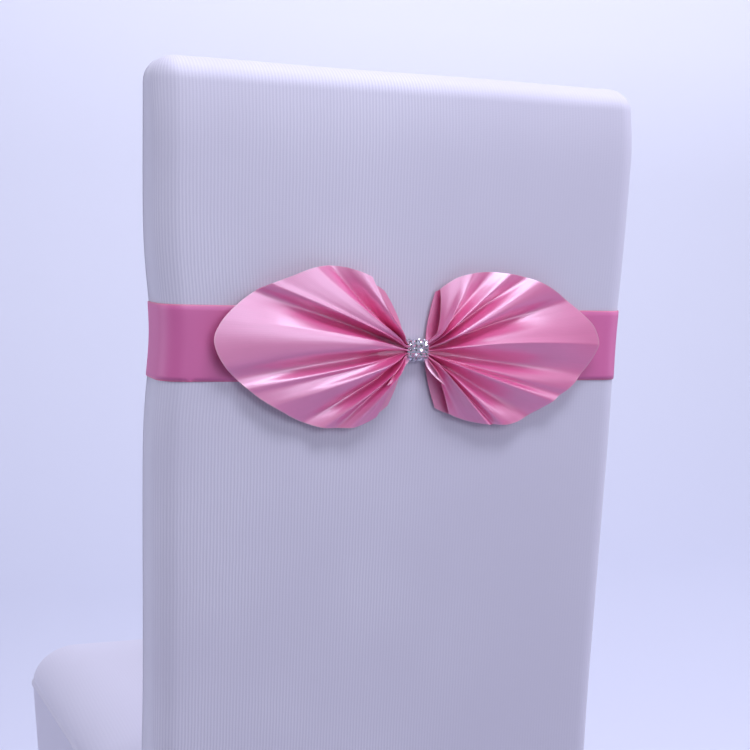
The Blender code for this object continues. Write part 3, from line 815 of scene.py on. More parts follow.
def make_skirt():
    """One strip round both sides and the front, from the seat's seam to the hem."""
    form = bmesh.new()
    across, along, ribbed = point_values(form, "across", "along", "ribs_and_shade")
    top = SEAM_LEVEL - SEAM_GAP
    levels = rows_between(HEM_LEVEL, top, (top - HEM_LEVEL) / SKIRT_ROWS) + hem_levels()
    row = [form.verts.new(place) for place in skirt_row(top)[0]]
    edges = [form.edges.new(pair) for pair in zip(row, row[1:])]
    for level in [top] + sorted(levels, reverse=True) + [HEM_LEVEL]:
        if level != top:
            edges, row = extrude_edges(form, edges)
        places, runs = skirt_row(level)
        for vertex, place, run in zip(row, places, runs):
            vertex.co = place
            vertex[across] = run
            vertex[along] = level
            vertex[ribbed] = SKIRT_RIBS_AND_SHADE
    face_outward(form)
    skirt = make_piece("cover_skirt", form, [knit], "skirt")
    tell(skirt, copies=2)
    mirror_half(skirt)
    thicken(skirt, COVER_CLOTH, -1)
    return skirt


cover_skirt = make_skirt()

# %% [markdown]
# ## The crowned seat
# A grid is bent to the seat's plan, raised over its cushion and ended in a small bead along the seam,
# where the seat and the skirt are sewn together and the allowance pushes the cloth out.

# %% Seat
SEAT_COLUMNS = 30
SEAT_EASE = 1.3
SEAT_WELT = 0.0014
SEAT_RIBS_AND_SHADE = 0.15


def seat_height(x, y):
    """Level of the crowned seat: rolled down to the seam at its sides and front, softly domed."""
    rear = BACK_DEPTH / 2 + lean(SEAM_LEVEL)
    half = seat_half_at(y)
    corner_x = half - SEAT_CORNER
    if x > corner_x and y > SEAT_CORNER_Y:
        inset = SEAT_CORNER - math.hypot(x - corner_x, y - SEAT_CORNER_Y)
    else:
        inset = min(half - x, SEAT_FRONT - y)
    rolled = 1.0 - min(max(inset, 0.0) / SEAT_ROLL, 1.0)
    rise = SEAT_RISE * math.sqrt(max(1.0 - rolled ** 2, 0.0))
    along = (y - rear) / (SEAT_FRONT - rear)
    dome = SEAT_DOME * (1.0 - (x / half) ** 2) * math.sin(math.pi * min(max(along, 0.0), 1.0))
    return SEAM_LEVEL + SEAT_BORDER + rise + max(dome, 0.0)


def welt_direction(place):
    """Level direction away from the seat at a point of its rim."""
    past_side = max(place.x - seat_half_at(SEAT_CORNER_Y) + SEAT_CORNER, 0.0)
    return Vector((past_side, max(place.y - SEAT_CORNER_Y, 0.0), 0.0)).normalized()


def make_seat_panel():
    """Seat top: one crowned panel with round front corners, against the inner back at its rear."""
    rows = SIDE_STEPS + CORNER_STEPS
    form = bmesh.new()
    bmesh.ops.create_grid(form, x_segments=SEAT_COLUMNS, y_segments=rows, size=0.5)
    rear = BACK_DEPTH / 2 + lean(SEAM_LEVEL) + SEAM_GAP
    for vertex in form.verts:
        column = round((vertex.co.x + 0.5) * SEAT_COLUMNS)
        row = round((vertex.co.y + 0.5) * rows)
        if row <= SIDE_STEPS:
            y = rear + (SEAT_CORNER_Y - rear) * (row / SIDE_STEPS) ** SEAT_EASE
            half = seat_half_at(y)
        else:
            turn = math.pi / 2 * (row - SIDE_STEPS) / CORNER_STEPS
            y = SEAT_CORNER_Y + SEAT_CORNER * math.sin(turn)
            half = seat_half_at(y) + SEAT_CORNER * (math.cos(turn) - 1.0)
        x = half * math.sin(math.pi / 2 * column / SEAT_COLUMNS)
        on_rim = column == SEAT_COLUMNS or row == rows
        z = SEAM_LEVEL + SEAT_BORDER if on_rim else seat_height(x, y)
        if row == 0:
            y += lean(z) - lean(SEAM_LEVEL)
        vertex.co = (x, y, z)
    write_weave(form, lambda co: co.x, lambda co: co.y, SEAT_RIBS_AND_SHADE)
    rim = [edge for edge in form.edges if edge.is_boundary
           and max(vertex.co.z for vertex in edge.verts) < SEAM_LEVEL + SEAT_BORDER + SEAM_GAP]
    for bead, drop in ((SEAT_WELT, 0.25), (0.0, 0.5), (-SEAT_WELT, 0.25)):
        rim, lower = extrude_edges(form, rim)
        for vertex in lower:
            vertex.co += welt_direction(vertex.co) * bead - Vector((0.0, 0.0, SEAT_BORDER * drop))
    face_outward(form)
    seat = make_piece("cover_seat", form, [knit], "seat_panel")
    tell(seat, copies=2)
    mirror_half(seat)
    thicken(seat, COVER_CLOTH, -1)
    return seat


cover_seat = make_seat_panel()

# %% [markdown]
# ## The sash band
# A flat satin ribbon, 56 mm wide, goes once round the backrest over the cover. Behind the bow it is
# drawn together through the ring, which is why the white cover shows above and below the ring. The
# band is the same block grown by half a millimetre, cut between two levels, and pulled together near
# the ring, where it breaks into small soft folds.

# %% Sash band
SASH_ROWS = 14
SASH_CLOTH = 0.0006
SASH_COLUMN_PITCH = 0.006
SASH_FOLDS = 4
SASH_FOLD_DEPTH = 0.0010
SASH_FOLD_EASE = 6.0


def gather(point):
    """Draw a point of the sash together where it passes through the ring behind the bow."""
    x, y, z = point
    away = (abs(x - RING_X) - RING_LENGTH / 2) / (GATHER_REACH - RING_LENGTH / 2)
    spread = smoothstep(away)
    tight = GATHER_HALF_HEIGHT / (SASH_HEIGHT / 2)
    share = (z - SASH_LEVEL) / (SASH_HEIGHT / 2)
    height = (z - SASH_LEVEL) * (tight + (1.0 - tight) * spread)
    level = RING_Z + (SASH_LEVEL - RING_Z) * spread + height
    fold = SASH_FOLD_DEPTH * (1.0 - spread) * smoothstep(away * SASH_FOLD_EASE)
    pleat = fold * (1.0 + math.sin(math.pi * SASH_FOLDS * share)) / 2
    return Vector((x, y + lean(level) - lean(z) - GATHER_LIFT * (1.0 - spread) - pleat, level))


def make_sash_band():
    """The satin loop round the backrest, gathered to the ring's height behind the bow."""
    low = SASH_LEVEL - SASH_HEIGHT / 2
    high = SASH_LEVEL + SASH_HEIGHT / 2
    levels = [low + SASH_HEIGHT * row / SASH_ROWS for row in range(SASH_ROWS + 1)]
    form = fine_block(SASH_CLEARANCE, SASH_COLUMN_PITCH, levels)
    slice_form(form, (0, 0, high), (0, 0, 1), "above")
    slice_form(form, (0, 0, low), (0, 0, 1), "below")
    write_weave(form, lambda co: co.z, lambda co: unrolled(co.x, co.y))
    inset, = point_values(form, "inset")
    for vertex in form.verts:
        vertex[inset] = SASH_HEIGHT / 2 - abs(vertex.co.z - SASH_LEVEL)
        at_back = vertex.co.y < 0
        vertex.co = dress(vertex.co)
        if at_back:
            vertex.co = gather(vertex.co)
    bmesh.ops.recalc_face_normals(form, faces=form.faces)
    outward = sum(face.normal.x * face.calc_center_median().x for face in form.faces)
    if outward < 0:
        bmesh.ops.reverse_faces(form, faces=form.faces)
    band = make_piece("satin_sash", form, [ribbon_satin, satin_edge], "sash_band")
    tell(band)
    thicken(band, SASH_CLOTH, 1, rim=1)
    return band


satin_sash = make_sash_band()

# %% [markdown]
# ## The bow's pleats
# A bow like this is one satin cloth, laid in pleats and drawn through the ring, so that both ends
# open like a fan. No two pleats are alike. Each row of the tables is one ridge or valley, from a
# wing's top edge down: the angles at which it leaves the ring and reaches the rim, its reach, how far
# it stands out near the ring, halfway and at the rim, and how sharply it is creased. A smooth curve
# is read through the rows, so a few numbers chosen from the picture make the whole wing. A
# cloth simulation could pleat a cloth too, but these have to be the pleats of one picture, so they
# are set one by one and none is run.

# %% Folds of both wings
BOW_X = 0.0054
WING_ROOT = 0.0088
WAIST_HALF_HEIGHT = 0.0055
FAN_STRAIGHT = 0.36
BOW_VALUES = ("across", "along", "inset")
FOLD_COLUMNS = ("start", "angle", "reach", "near", "mid", "rim", "crease")
LEFT_FOLDS = (
    (42.0, 60.6, 63.5, 3.2, 4.0, 2.8, 0.3),
    (41.0, 57.0, 69.5, 2.4, 3.0, 2.2, 0.0),
    (39.5, 53.0, 76.1, -0.5, 0.5, 0.8, 0.0),
    (37.5, 49.0, 82.7, -5.0, -3.4, -0.8, 0.0),
    (35.0, 45.0, 89.1, -6.0, -5.0, -1.5, 0.0),
    (33.0, 42.5, 92.8, 0.5, 0.5, 0.8, 0.0),
    (30.5, 39.5, 97.1, 5.0, 5.2, 3.0, 0.5),
    (29.0, 35.5, 102.0, 4.8, 5.6, 3.2, 0.0),
    (28.0, 31.0, 107.5, 3.6, 5.0, 2.8, 0.0),
    (27.5, 27.0, 113.9, 3.0, 4.2, 2.2, 0.0),
    (27.0, 24.0, 119.5, 3.8, 4.4, 2.0, 0.4),
    (25.5, 22.0, 123.2, -2.5, -0.8, 0.6, 0.0),
    (23.0, 20.0, 126.8, -6.5, -6.3, -1.6, 0.0),
    (20.5, 17.0, 132.3, -5.5, -5.0, -1.2, 0.0),
    (18.5, 13.0, 139.3, -1.5, -1.0, 0.4, 0.0),
    (17.0, 8.5, 146.4, 3.6, 2.4, 1.4, 0.3),
    (15.5, 3.5, 151.0, 4.2, 4.3, 2.2, 0.0),
    (12.0, -1.0, 148.1, 4.0, 5.0, 2.6, 0.0),
    (6.0, -5.0, 142.4, 1.5, 3.2, 2.2, 0.0),
    (-1.0, -7.2, 138.1, -4.5, -3.0, 0.2, 0.0),
    (-5.0, -9.0, 134.5, -6.5, -5.0, -0.6, 0.0),
    (-9.0, -10.8, 131.3, -5.0, -4.0, 0.0, 0.0),
    (-13.5, -12.8, 127.8, -1.0, 0.8, 1.6, 0.2),
    (-17.0, -15.2, 123.6, -1.0, 0.0, 1.2, 0.0),
    (-21.0, -18.2, 118.7, 1.5, 1.5, 1.8, 0.0),
    (-25.0, -21.5, 113.2, 4.5, 4.6, 2.6, 0.3),
    (-30.0, -25.5, 107.2, 2.5, 3.2, 2.0, 0.0),
    (-35.5, -29.8, 101.9, -2.0, 0.0, 0.8, 0.0),
    (-40.5, -34.0, 96.6, -5.0, -4.6, -0.6, 0.0),
    (-43.0, -38.0, 91.8, -2.0, -1.5, 0.8, 0.0),
    (-45.0, -42.0, 86.9, 2.5, 3.0, 2.4, 0.4),
    (-48.5, -46.5, 80.8, -2.0, -1.5, 0.2, 0.0),
    (-51.0, -50.0, 76.3, 1.0, 1.5, 1.6, 0.0),
    (-54.0, -54.0, 72.1, 3.8, 4.4, 2.8, 0.6),
    (-58.0, -60.0, 64.7, -1.5, -1.0, 0.0, 0.0),
    (-63.0, -67.0, 55.2, -2.5, -2.0, -0.6, 0.0),
)
RIGHT_FOLDS = (
    (60.0, 80.0, 48.0, -0.5, -1.0, -0.5, 0.0),
    (59.0, 74.0, 54.6, 0.0, 0.0, 0.3, 0.0),
    (57.5, 67.5, 61.7, 1.0, 1.2, 1.0, 0.0),
    (56.0, 61.0, 68.2, 3.4, 4.0, 2.6, 0.6),
    (53.5, 56.0, 73.1, -0.5, 0.0, 0.6, 0.0),
    (51.0, 50.0, 79.8, -3.0, -2.6, -0.8, 0.0),
    (49.5, 46.0, 84.4, 0.0, 0.0, 0.8, 0.0),
    (48.0, 42.0, 89.6, 3.4, 3.8, 2.8, 0.4),
    (42.5, 38.5, 94.6, -1.5, -0.5, 1.0, 0.0),
    (38.0, 35.5, 99.2, -5.0, -3.6, 0.0, 0.0),
    (34.0, 33.0, 103.0, 0.0, 0.8, 1.6, 0.0),
    (31.5, 30.5, 106.8, 4.0, 4.6, 3.2, 0.2),
    (29.5, 27.0, 112.0, 5.0, 5.2, 2.8, 0.0),
    (26.0, 23.0, 118.3, 0.0, 1.2, 0.8, 0.0),
    (23.0, 19.0, 125.0, -6.5, -5.2, -1.6, 0.0),
    (21.0, 15.5, 130.9, -6.0, -4.0, -0.8, 0.0),
    (19.5, 12.0, 137.0, -5.0, -1.5, 0.6, 0.0),
    (17.5, 8.5, 143.3, -1.5, 1.5, 1.6, 0.0),
    (15.0, 5.0, 146.8, 2.5, 3.6, 2.2, 0.0),
    (12.5, 2.0, 147.6, 5.2, 5.5, 2.6, 1.2),
    (5.0, -1.5, 144.4, 0.0, 1.6, 1.4, 0.0),
    (-3.0, -5.0, 140.3, -5.0, -3.4, -0.2, 0.0),
    (-8.0, -8.0, 135.7, -6.0, -4.8, -0.6, 0.0),
    (-13.0, -11.0, 131.2, -2.5, -1.0, 1.0, 0.0),
    (-16.5, -14.0, 126.0, 0.0, 1.5, 1.6, 0.0),
    (-19.0, -17.0, 120.7, 0.0, 0.4, 0.8, 0.0),
    (-21.5, -20.0, 115.6, 5.2, 5.8, 3.4, 0.6),
    (-26.0, -24.5, 109.4, 0.5, 0.4, 1.0, 0.0),
    (-31.5, -29.5, 103.3, -4.5, -4.2, -0.8, 0.0),
    (-37.0, -34.5, 97.7, -3.5, -1.4, 0.8, 0.0),
    (-40.0, -39.0, 91.5, 0.5, 3.2, 2.6, 0.0),
    (-42.5, -42.0, 86.5, 2.5, 4.6, 3.2, 0.4),
    (-45.0, -44.5, 82.3, -1.0, -0.4, 0.4, 0.0),
    (-48.0, -47.5, 77.8, 4.2, 5.2, 3.4, 0.7),
    (-52.5, -53.0, 70.1, 0.5, 1.2, 1.0, 0.0),
    (-57.0, -60.0, 61.5, -1.5, -1.5, -0.5, 0.0),
    (-62.0, -68.0, 52.6, 0.5, 0.8, 0.8, 0.0),
)
LINING_COLUMNS = ("start", "angle", "reach")
LEFT_LINING = (
    (83.0, 68.5, 48.0),
    (55.0, 55.0, 66.0),
    (35.0, 35.0, 92.0),
    (10.0, 10.0, 135.0),
    (-10.0, -10.0, 122.0),
    (-35.0, -35.0, 86.0),
    (-60.0, -60.0, 62.0),
    (-86.0, -75.0, 44.0),
)
RIGHT_LINING = (
    (92.0, 82.0, 45.0),
    (65.0, 65.0, 58.0),
    (35.0, 35.0, 92.0),
    (10.0, 10.0, 130.0),
    (-10.0, -10.0, 120.0),
    (-35.0, -35.0, 88.0),
    (-60.0, -60.0, 60.0),
    (-86.0, -77.0, 46.0),
)

print("folds:", len(LEFT_FOLDS), "on the left wing,", len(RIGHT_FOLDS), "on the right")

# %% [markdown]
# ## From a table to a surface
# The tables have a row for each fold only. A smooth cubic through the rows fills in the cloth between
# them, and each line from the ring to the rim is a curve, since pleats leave the ring steeply and
# then spread.

# %% Reading the folds
def read_table(rows, columns, column, share):
    """Smooth value of one column of a table, at a share of the way down its rows."""
    place = columns.index(column)
    values = [row[place] for row in rows]
    spot = min(max(share, 0.0), 1.0) * (len(values) - 1)
    index = min(int(spot), len(values) - 2)
    part = spot - index
    before = values[max(index - 1, 0)]
    start = values[index]
    end = values[index + 1]
    after = values[min(index + 2, len(values) - 1)]
    slope_in = (end - before) / 2
    slope_out = (after - start) / 2
    square = part * part
    cube = square * part
    return ((2 * cube - 3 * square + 1) * start + (cube - 2 * square + part) * slope_in
            + (3 * square - 2 * cube) * end + (cube - square) * slope_out)


def curve_between(start, bend, end, along):
    """Point of a smooth curve from start to end that leaves towards bend."""
    return start * (1 - along) ** 2 + bend * 2 * along * (1 - along) + end * along ** 2


def wing_place(side, share, along, rows, columns):
    """X and Z of a point of a wing: share goes from its top edge down, along from ring to rim."""
    leaving = math.radians(read_table(rows, columns, "start", share))
    angle = math.radians(read_table(rows, columns, "angle", share))
    reach = read_table(rows, columns, "reach", share) * MM
    start = Vector((side * WING_ROOT, WAIST_HALF_HEIGHT * (1.0 - 2.0 * share)))
    rim = Vector((side * (WING_ROOT + reach * math.cos(angle)), reach * math.sin(angle)))
    bend = start + Vector((side * math.cos(leaving), math.sin(leaving))) * reach * FAN_STRAIGHT
    place = curve_between(start, bend, rim, along)
    return place.x + BOW_X, place.y + RING_Z


print("middle of the right rim:", [round(value, 4) for value in wing_place(
    1, 0.5, 1.0, RIGHT_FOLDS, FOLD_COLUMNS)])

# %% [markdown]
# ## How high the pleats stand
# The pleats crowd at the ring, so they stand tallest close to it and flatten towards the rim. Satin
# resists a sharp bend outward and is pinched in the valleys, so heights are eased into round ridges
# over tight valleys. The whole fan also domes: its rim lies closer to the cover than its middle.

# %% Height of the pleats
FRONT_WAIST_OUT = 0.0073
FRONT_MEAN_OUT = 0.0152
FRONT_RIM_OUT = 0.0070
DOME_FROM = 0.30
DOME_EASE = 1.4
FOLD_STRENGTH = 1.40
NEAR_STRENGTH = 1.22
PUFF_TOP = 5.8
PUFF_LOW = -6.5
PUFF_EASE = 1.4
WAIST_RISE = 0.35
NEAR_AT = 0.14
LIFTED_AT = 0.30
MID_AT = 0.42
HOLD_TO = 0.55
CREASE_SPREAD = 0.45
CREASED_AT = 0.25
CREASE_FADE = 0.75
BACK_WAIST_OUT = 0.0053
BACK_MEAN_OUT = 0.0042
LINING_LIFTED_AT = 0.2


def crease_rise(rows, share):
    """Extra height of the sharp creases near this share of the fan."""
    spot = share * (len(rows) - 1)
    place = FOLD_COLUMNS.index("crease")
    rise = 0.0
    for index, row in enumerate(rows):
        near = max(1.0 - abs(spot - index) / CREASE_SPREAD, 0.0)
        rise += row[place] * near ** 2
    return rise


def pleat_out(share, along, rows):
    """How far the pleated layer stands out from the cover."""
    leaving = WAIST_RISE + (1.0 - WAIST_RISE) * smoothstep(along / NEAR_AT)
    to_mid = smoothstep((along - NEAR_AT) / (MID_AT - NEAR_AT))
    to_rim = smoothstep((along - HOLD_TO) / (1.0 - HOLD_TO))
    doming = max((along - DOME_FROM) / (1.0 - DOME_FROM), 0.0) ** DOME_EASE
    mean = FRONT_WAIST_OUT + (FRONT_MEAN_OUT - FRONT_WAIST_OUT) * smoothstep(along / LIFTED_AT)
    mean += (FRONT_RIM_OUT - FRONT_MEAN_OUT) * doming
    near = NEAR_STRENGTH * read_table(rows, FOLD_COLUMNS, "near", share)
    mid = read_table(rows, FOLD_COLUMNS, "mid", share)
    rim = read_table(rows, FOLD_COLUMNS, "rim", share)
    rise = near * (1.0 - to_mid) + to_mid * (mid * (1.0 - to_rim) + rim * to_rim)
    depth = min(max((PUFF_TOP - rise) / (PUFF_TOP - PUFF_LOW), 0.0), 1.0)
    rise = PUFF_TOP - (PUFF_TOP - PUFF_LOW) * depth ** PUFF_EASE
    crease = crease_rise(rows, share) * smoothstep(along / CREASED_AT) * (1.0 - CREASE_FADE * to_rim)
    return mean + (FOLD_STRENGTH * rise * leaving + crease) * MM


def lining_out(share, along, rows):
    """How far the flat layer behind stands out from the cover."""
    return BACK_WAIST_OUT + (BACK_MEAN_OUT - BACK_WAIST_OUT) * smoothstep(along / LINING_LIFTED_AT)


print("left pleats halfway out, mm:", [
    round(pleat_out(share / 8, 0.5, LEFT_FOLDS) / MM, 1) for share in range(9)])

# %% [markdown]
# ## Tucked corners
# Under the ring the outermost pleat of each wing is folded back and shows as a narrow pointed leaf.
# It is a small grid between two curves, part of the same cloth, a little hollow along its middle.

# %% Tucked corners of the pleats
TUCK_STEPS = 16
TUCK_ROWS = 6
TUCK_HOLLOW = 0.0008
TUCK_WAIST_OUT = 0.0086
LEFT_TUCK = ((-7.0, -4.2), (-18.5, -13.0), (-28.4, -25.6), (-5.4, -7.2), (-15.0, -18.5))
LEFT_TUCK_OUT = 0.0215
RIGHT_TUCK = ((8.5, -4.5), (13.0, -11.0), (19.6, -25.6), (7.0, -7.5), (8.8, -18.0))
RIGHT_TUCK_OUT = 0.0195


def add_tuck(form, corners, tip_out):
    """A folded-back corner of the cloth: a narrow leaf between two curves from the ring to its tip."""
    near_top, bend_top, tip, near_low, bend_low = [Vector(corner) * MM for corner in corners]
    across, along_cloth, inset = [form.verts.layers.float[name] for name in BOW_VALUES]
    fresh = bmesh.ops.create_grid(form, x_segments=TUCK_STEPS, y_segments=TUCK_ROWS, size=0.5)["verts"]
    for vertex in fresh:
        along = vertex.co.x + 0.5
        down = 0.5 - vertex.co.y
        top = curve_between(near_top, bend_top, tip, along)
        low = curve_between(near_low, bend_low, tip, along)
        place = top.lerp(low, down)
        width = (top - low).length
        out = TUCK_WAIST_OUT + (tip_out - TUCK_WAIST_OUT) * smoothstep(along)
        out -= TUCK_HOLLOW * math.sin(math.pi * down) * math.sin(math.pi * along)
        vertex[across] = down * width
        vertex[along_cloth] = along * (tip - near_top).length
        vertex[inset] = width * min(down, 1.0 - down)
        x = place.x + BOW_X
        z = place.y + RING_Z
        vertex.co = (x, back_face(x, z) - out, z)
    bmesh.ops.remove_doubles(form, verts=fresh, dist=MERGE_DISTANCE)


print("tucked corners, mm long:", [round(Vector(tuck[2]).length, 1) for tuck in (LEFT_TUCK, RIGHT_TUCK)])

# %% [markdown]
# ## Both layers of the bow
# One grid makes each layer: its rows run from the left rim through the ring to the right rim, closer
# together at the ring. The layer behind is plain, smaller and flat, as only slivers of it show.

# %% Bow front and the layer behind
FAN_STEPS = 252
BOW_REACH_STEPS = 48
LINING_FAN_STEPS = 70
LINING_REACH_STEPS = 24
REACH_EASE = 1.35
BOW_CLOTH = 0.0005
BOW_CUT_WIDTH = 0.190
INSET_LEAST = 0.1


def make_bow_layer(name, node, wings, fan_steps, reach_steps, out_of, tucks=()):
    """One cloth from the left wing's rim through the ring to the right wing's rim."""
    rows = []
    for reach in range(-reach_steps, reach_steps + 2):
        side = -1 if reach <= 0 else 1
        steps = -reach if reach <= 0 else reach - 1
        rows.append((side, (steps / reach_steps) ** REACH_EASE))
    form = bmesh.new()
    bmesh.ops.create_grid(form, x_segments=len(rows) - 1, y_segments=fan_steps, size=0.5)
    across, along_cloth, inset = point_values(form, *BOW_VALUES)
    for vertex in form.verts:
        side, along = rows[round((vertex.co.x + 0.5) * (len(rows) - 1))]
        share = 0.5 - vertex.co.y
        table, columns = wings[side]
        x, z = wing_place(side, share, along, table, columns)
        reach = read_table(table, columns, "reach", share) * MM
        vertex[across] = share * BOW_CUT_WIDTH
        vertex[along_cloth] = side * reach * along
        from_side = BOW_CUT_WIDTH * min(share, 1.0 - share) * max(along, INSET_LEAST)
        vertex[inset] = min(reach * (1.0 - along), from_side)
        vertex.co = (x, back_face(x, z) - out_of(share, along, table), z)
    for corners, tip_out in tucks:
        add_tuck(form, corners, tip_out)
    form.normal_update()
    bmesh.ops.reverse_faces(form, faces=[face for face in form.faces if face.normal.y > 0])
    layer = make_piece(name, form, [bow_satin, satin_edge], node)
    tell(layer)
    thicken(layer, BOW_CLOTH, -1, rim=1)
    return layer


pleated_wings = {-1: (LEFT_FOLDS, FOLD_COLUMNS), 1: (RIGHT_FOLDS, FOLD_COLUMNS)}
plain_wings = {-1: (LEFT_LINING, LINING_COLUMNS), 1: (RIGHT_LINING, LINING_COLUMNS)}
bow_pleats = make_bow_layer("bow_pleats", "bow_front", pleated_wings,
                            FAN_STEPS, BOW_REACH_STEPS, pleat_out,
                            ((LEFT_TUCK, LEFT_TUCK_OUT), (RIGHT_TUCK, RIGHT_TUCK_OUT)))
bow_underlay = make_bow_layer("bow_underlay", "bow_back", plain_wings,
                              LINING_FAN_STEPS, LINING_REACH_STEPS, lining_out)

# %% [markdown]
# ## The ring of rhinestones
# The ring is a short barrel of oblong section. Stones sit in rows round it, each in its cup, with
# small beads of plating between them. A stone is a low cone with its tip cut off, eight facets and a
# table. Each is turned a little its own way, which is what makes a row of them twinkle.

# %% Sleeve of the ring
RING_WALL = 0.0007
RING_ROUND_STEPS = 8
SLEEVE_PARTS = 8
STONE_STAND = 0.0012


def ring_centre():
    """Middle of the ring, as far out from the cover as its depth needs."""
    return Vector((RING_X, back_face(RING_X, RING_Z) - RING_STANDOFF - RING_DEPTH / 2, RING_Z))


def barrel(x, y, z):
    """Place of a point of the ring's plain sleeve: narrower at its ends, leaning with the back."""
    narrowed = z * (1.0 - (1.0 - RING_BARREL) * (x / (RING_LENGTH / 2)) ** 2)
    return Vector((x, y - BACK_LEAN * narrowed, narrowed)) + ring_centre()


def make_sleeve():
    """The ring's plain sleeve, open at both ends."""
    form = bmesh.new()
    bmesh.ops.create_cube(form, size=1.0)
    size = (RING_LENGTH, RING_DEPTH - 2 * STONE_STAND, RING_HEIGHT - 2 * STONE_STAND)
    bmesh.ops.scale(form, vec=size, verts=form.verts)
    ends = [face for face in form.faces if abs(face.normal.x) > 0.5]
    bmesh.ops.delete(form, geom=ends, context="FACES_ONLY")
    lengthwise = [edge for edge in form.edges if abs(edge.verts[0].co.x - edge.verts[1].co.x) > 0]
    bmesh.ops.bevel(
        form, geom=lengthwise, offset=RING_ROUND, offset_type="OFFSET",
        segments=RING_ROUND_STEPS, profile=0.5, affect="EDGES", material=-1)
    for step in range(1 - SLEEVE_PARTS // 2, SLEEVE_PARTS // 2):
        slice_form(form, (step * RING_LENGTH / SLEEVE_PARTS, 0, 0), (1, 0, 0))
    for vertex in form.verts:
        vertex.co = barrel(*vertex.co)
    bmesh.ops.recalc_face_normals(form, faces=form.faces)
    outward = sum(face.normal.dot(face.calc_center_median() - ring_centre()) for face in form.faces)
    if outward < 0:
        bmesh.ops.reverse_faces(form, faces=form.faces)
    sleeve = make_piece("ring_sleeve", form, [silver_finish], "bow_ring")
    thicken(sleeve, RING_WALL, -1)
    return sleeve


ring_sleeve = make_sleeve()
print("ring sleeve:", len(ring_sleeve.data.polygons), "faces")

# %% [markdown]
# ## Rows of stones
# The stones follow the ring's section, so a function walks round that rounded oblong and gives a
# place and a facing for each row. Those on the hidden side are left out, as the cover hides them.

# %% Stones
STONE_COLUMNS = 4
STONE_ROWS = 12
STONE_RADIUS = 0.00185
STONE_TABLE = 0.0009
STONE_HEIGHT = 0.0009
STONE_FACETS = 8
STONE_TILT = 0.42
STONE_SEED = 31
CUP_HEIGHT = 0.00045
BACKWARD_LIMIT = 0.25


def section_point(run):
    """Y, Z and outward direction at a share of the way round the ring's rounded oblong section."""
    straight_up = RING_HEIGHT - 2 * STONE_STAND - 2 * RING_ROUND
    straight_out = RING_DEPTH - 2 * STONE_STAND - 2 * RING_ROUND
    arc = RING_ROUND * math.pi / 2
    rest = run * (2 * straight_up + 2 * straight_out + 4 * arc)
    y = STONE_STAND - RING_DEPTH / 2
    outward = Vector((-1.0, 0.0))
    point = Vector((y, -straight_up / 2))
    for length in (straight_up, straight_out, straight_up, straight_out):
        ahead = Vector((-outward.y, outward.x)) * -1.0
        if rest <= length:
            return point + ahead * rest, outward
        rest -= length
        point += ahead * length
        corner = point - outward * RING_ROUND
        if rest <= arc:
            turn = rest / RING_ROUND
            facing = outward * math.cos(turn) + ahead * math.sin(turn)
            return corner + facing * RING_ROUND, facing
        rest -= arc
        outward = ahead
        point = corner + outward * RING_ROUND
    return point, outward


def turned_to(normal, place):
    """Matrix that moves something from the origin, facing up, to a place and a facing."""
    return Matrix.Translation(place) @ normal.to_track_quat("Z", "Y").to_matrix().to_4x4()


def stone_places():
    """Place and facing of each stone on the visible side of the ring."""
    for row in range(STONE_ROWS):
        point, facing = section_point((row + 0.5) / STONE_ROWS)
        if facing.x > BACKWARD_LIMIT:
            continue
        for column in range(STONE_COLUMNS):
            x = RING_LENGTH * ((column + 0.5) / STONE_COLUMNS - 0.5)
            yield row, column, barrel(x, point.x, point.y), Vector((0.0, facing.x, facing.y))


def make_stones():
    """Every stone, joined as one piece."""
    noise.seed_set(STONE_SEED)
    form = bmesh.new()
    for row, column, place, facing in stone_places():
        wobble = noise.noise_vector(Vector((row * 3.7, column * 5.3, 1.9))) * STONE_TILT
        normal = (facing + wobble).normalized()
        middle = place + facing * (CUP_HEIGHT + STONE_HEIGHT / 2)
        bmesh.ops.create_cone(
            form, cap_ends=True, segments=STONE_FACETS, radius1=STONE_RADIUS, radius2=STONE_TABLE,
            depth=STONE_HEIGHT, matrix=turned_to(normal, middle))
    bmesh.ops.recalc_face_normals(form, faces=form.faces)
    stones = make_piece("ring_stones", form, [stone_finish], "bow_ring", smooth=False)
    print("stones:", len(stones.data.polygons) // (STONE_FACETS + 2))
    return stones


ring_stones = make_stones()

# %% [markdown]
# ## Cups and beads
# Each stone is held by a shallow flared cup, a short cone, and beads of plating fill the corners
# between cups. Both have few faces, because none is more than four millimetres wide.

# %% Cups and beads
CUP_SIDES = 12
CUP_BASE = 1.08
CUP_LIP = 1.02
CUP_SHARP = math.radians(40)
BEAD_RADIUS = 0.00048
BEAD_SPREAD = 0.97


def make_cups():
    """A metal cup under each stone and a bead of plating at each corner between cups."""
    form = bmesh.new()
    for row, column, place, facing in stone_places():
        bmesh.ops.create_cone(
            form, cap_ends=True, segments=CUP_SIDES, radius1=STONE_RADIUS * CUP_BASE,
            radius2=STONE_RADIUS * CUP_LIP, depth=2 * CUP_HEIGHT,
            matrix=turned_to(facing, place + facing * CUP_HEIGHT / 2))
    for row in range(STONE_ROWS):
        point, facing = section_point(row / STONE_ROWS)
        if facing.x > BACKWARD_LIMIT:
            continue
        for column in range(STONE_COLUMNS + 1):
            x = RING_LENGTH * (column / STONE_COLUMNS - 0.5) * BEAD_SPREAD
            place = barrel(x, point.x, point.y) + Vector((0.0, facing.x, facing.y)) * CUP_HEIGHT
            bmesh.ops.create_uvsphere(form, u_segments=8, v_segments=5, radius=BEAD_RADIUS,
                                      matrix=Matrix.Translation(place))
    bmesh.ops.recalc_face_normals(form, faces=form.faces)
    cups = make_piece("ring_cups", form, [silver_finish], "bow_ring")
    cups.data.set_sharp_from_angle(angle=CUP_SHARP)
    return cups


ring_cups = make_cups()
print("cups and beads:", len(ring_cups.data.polygons), "faces")

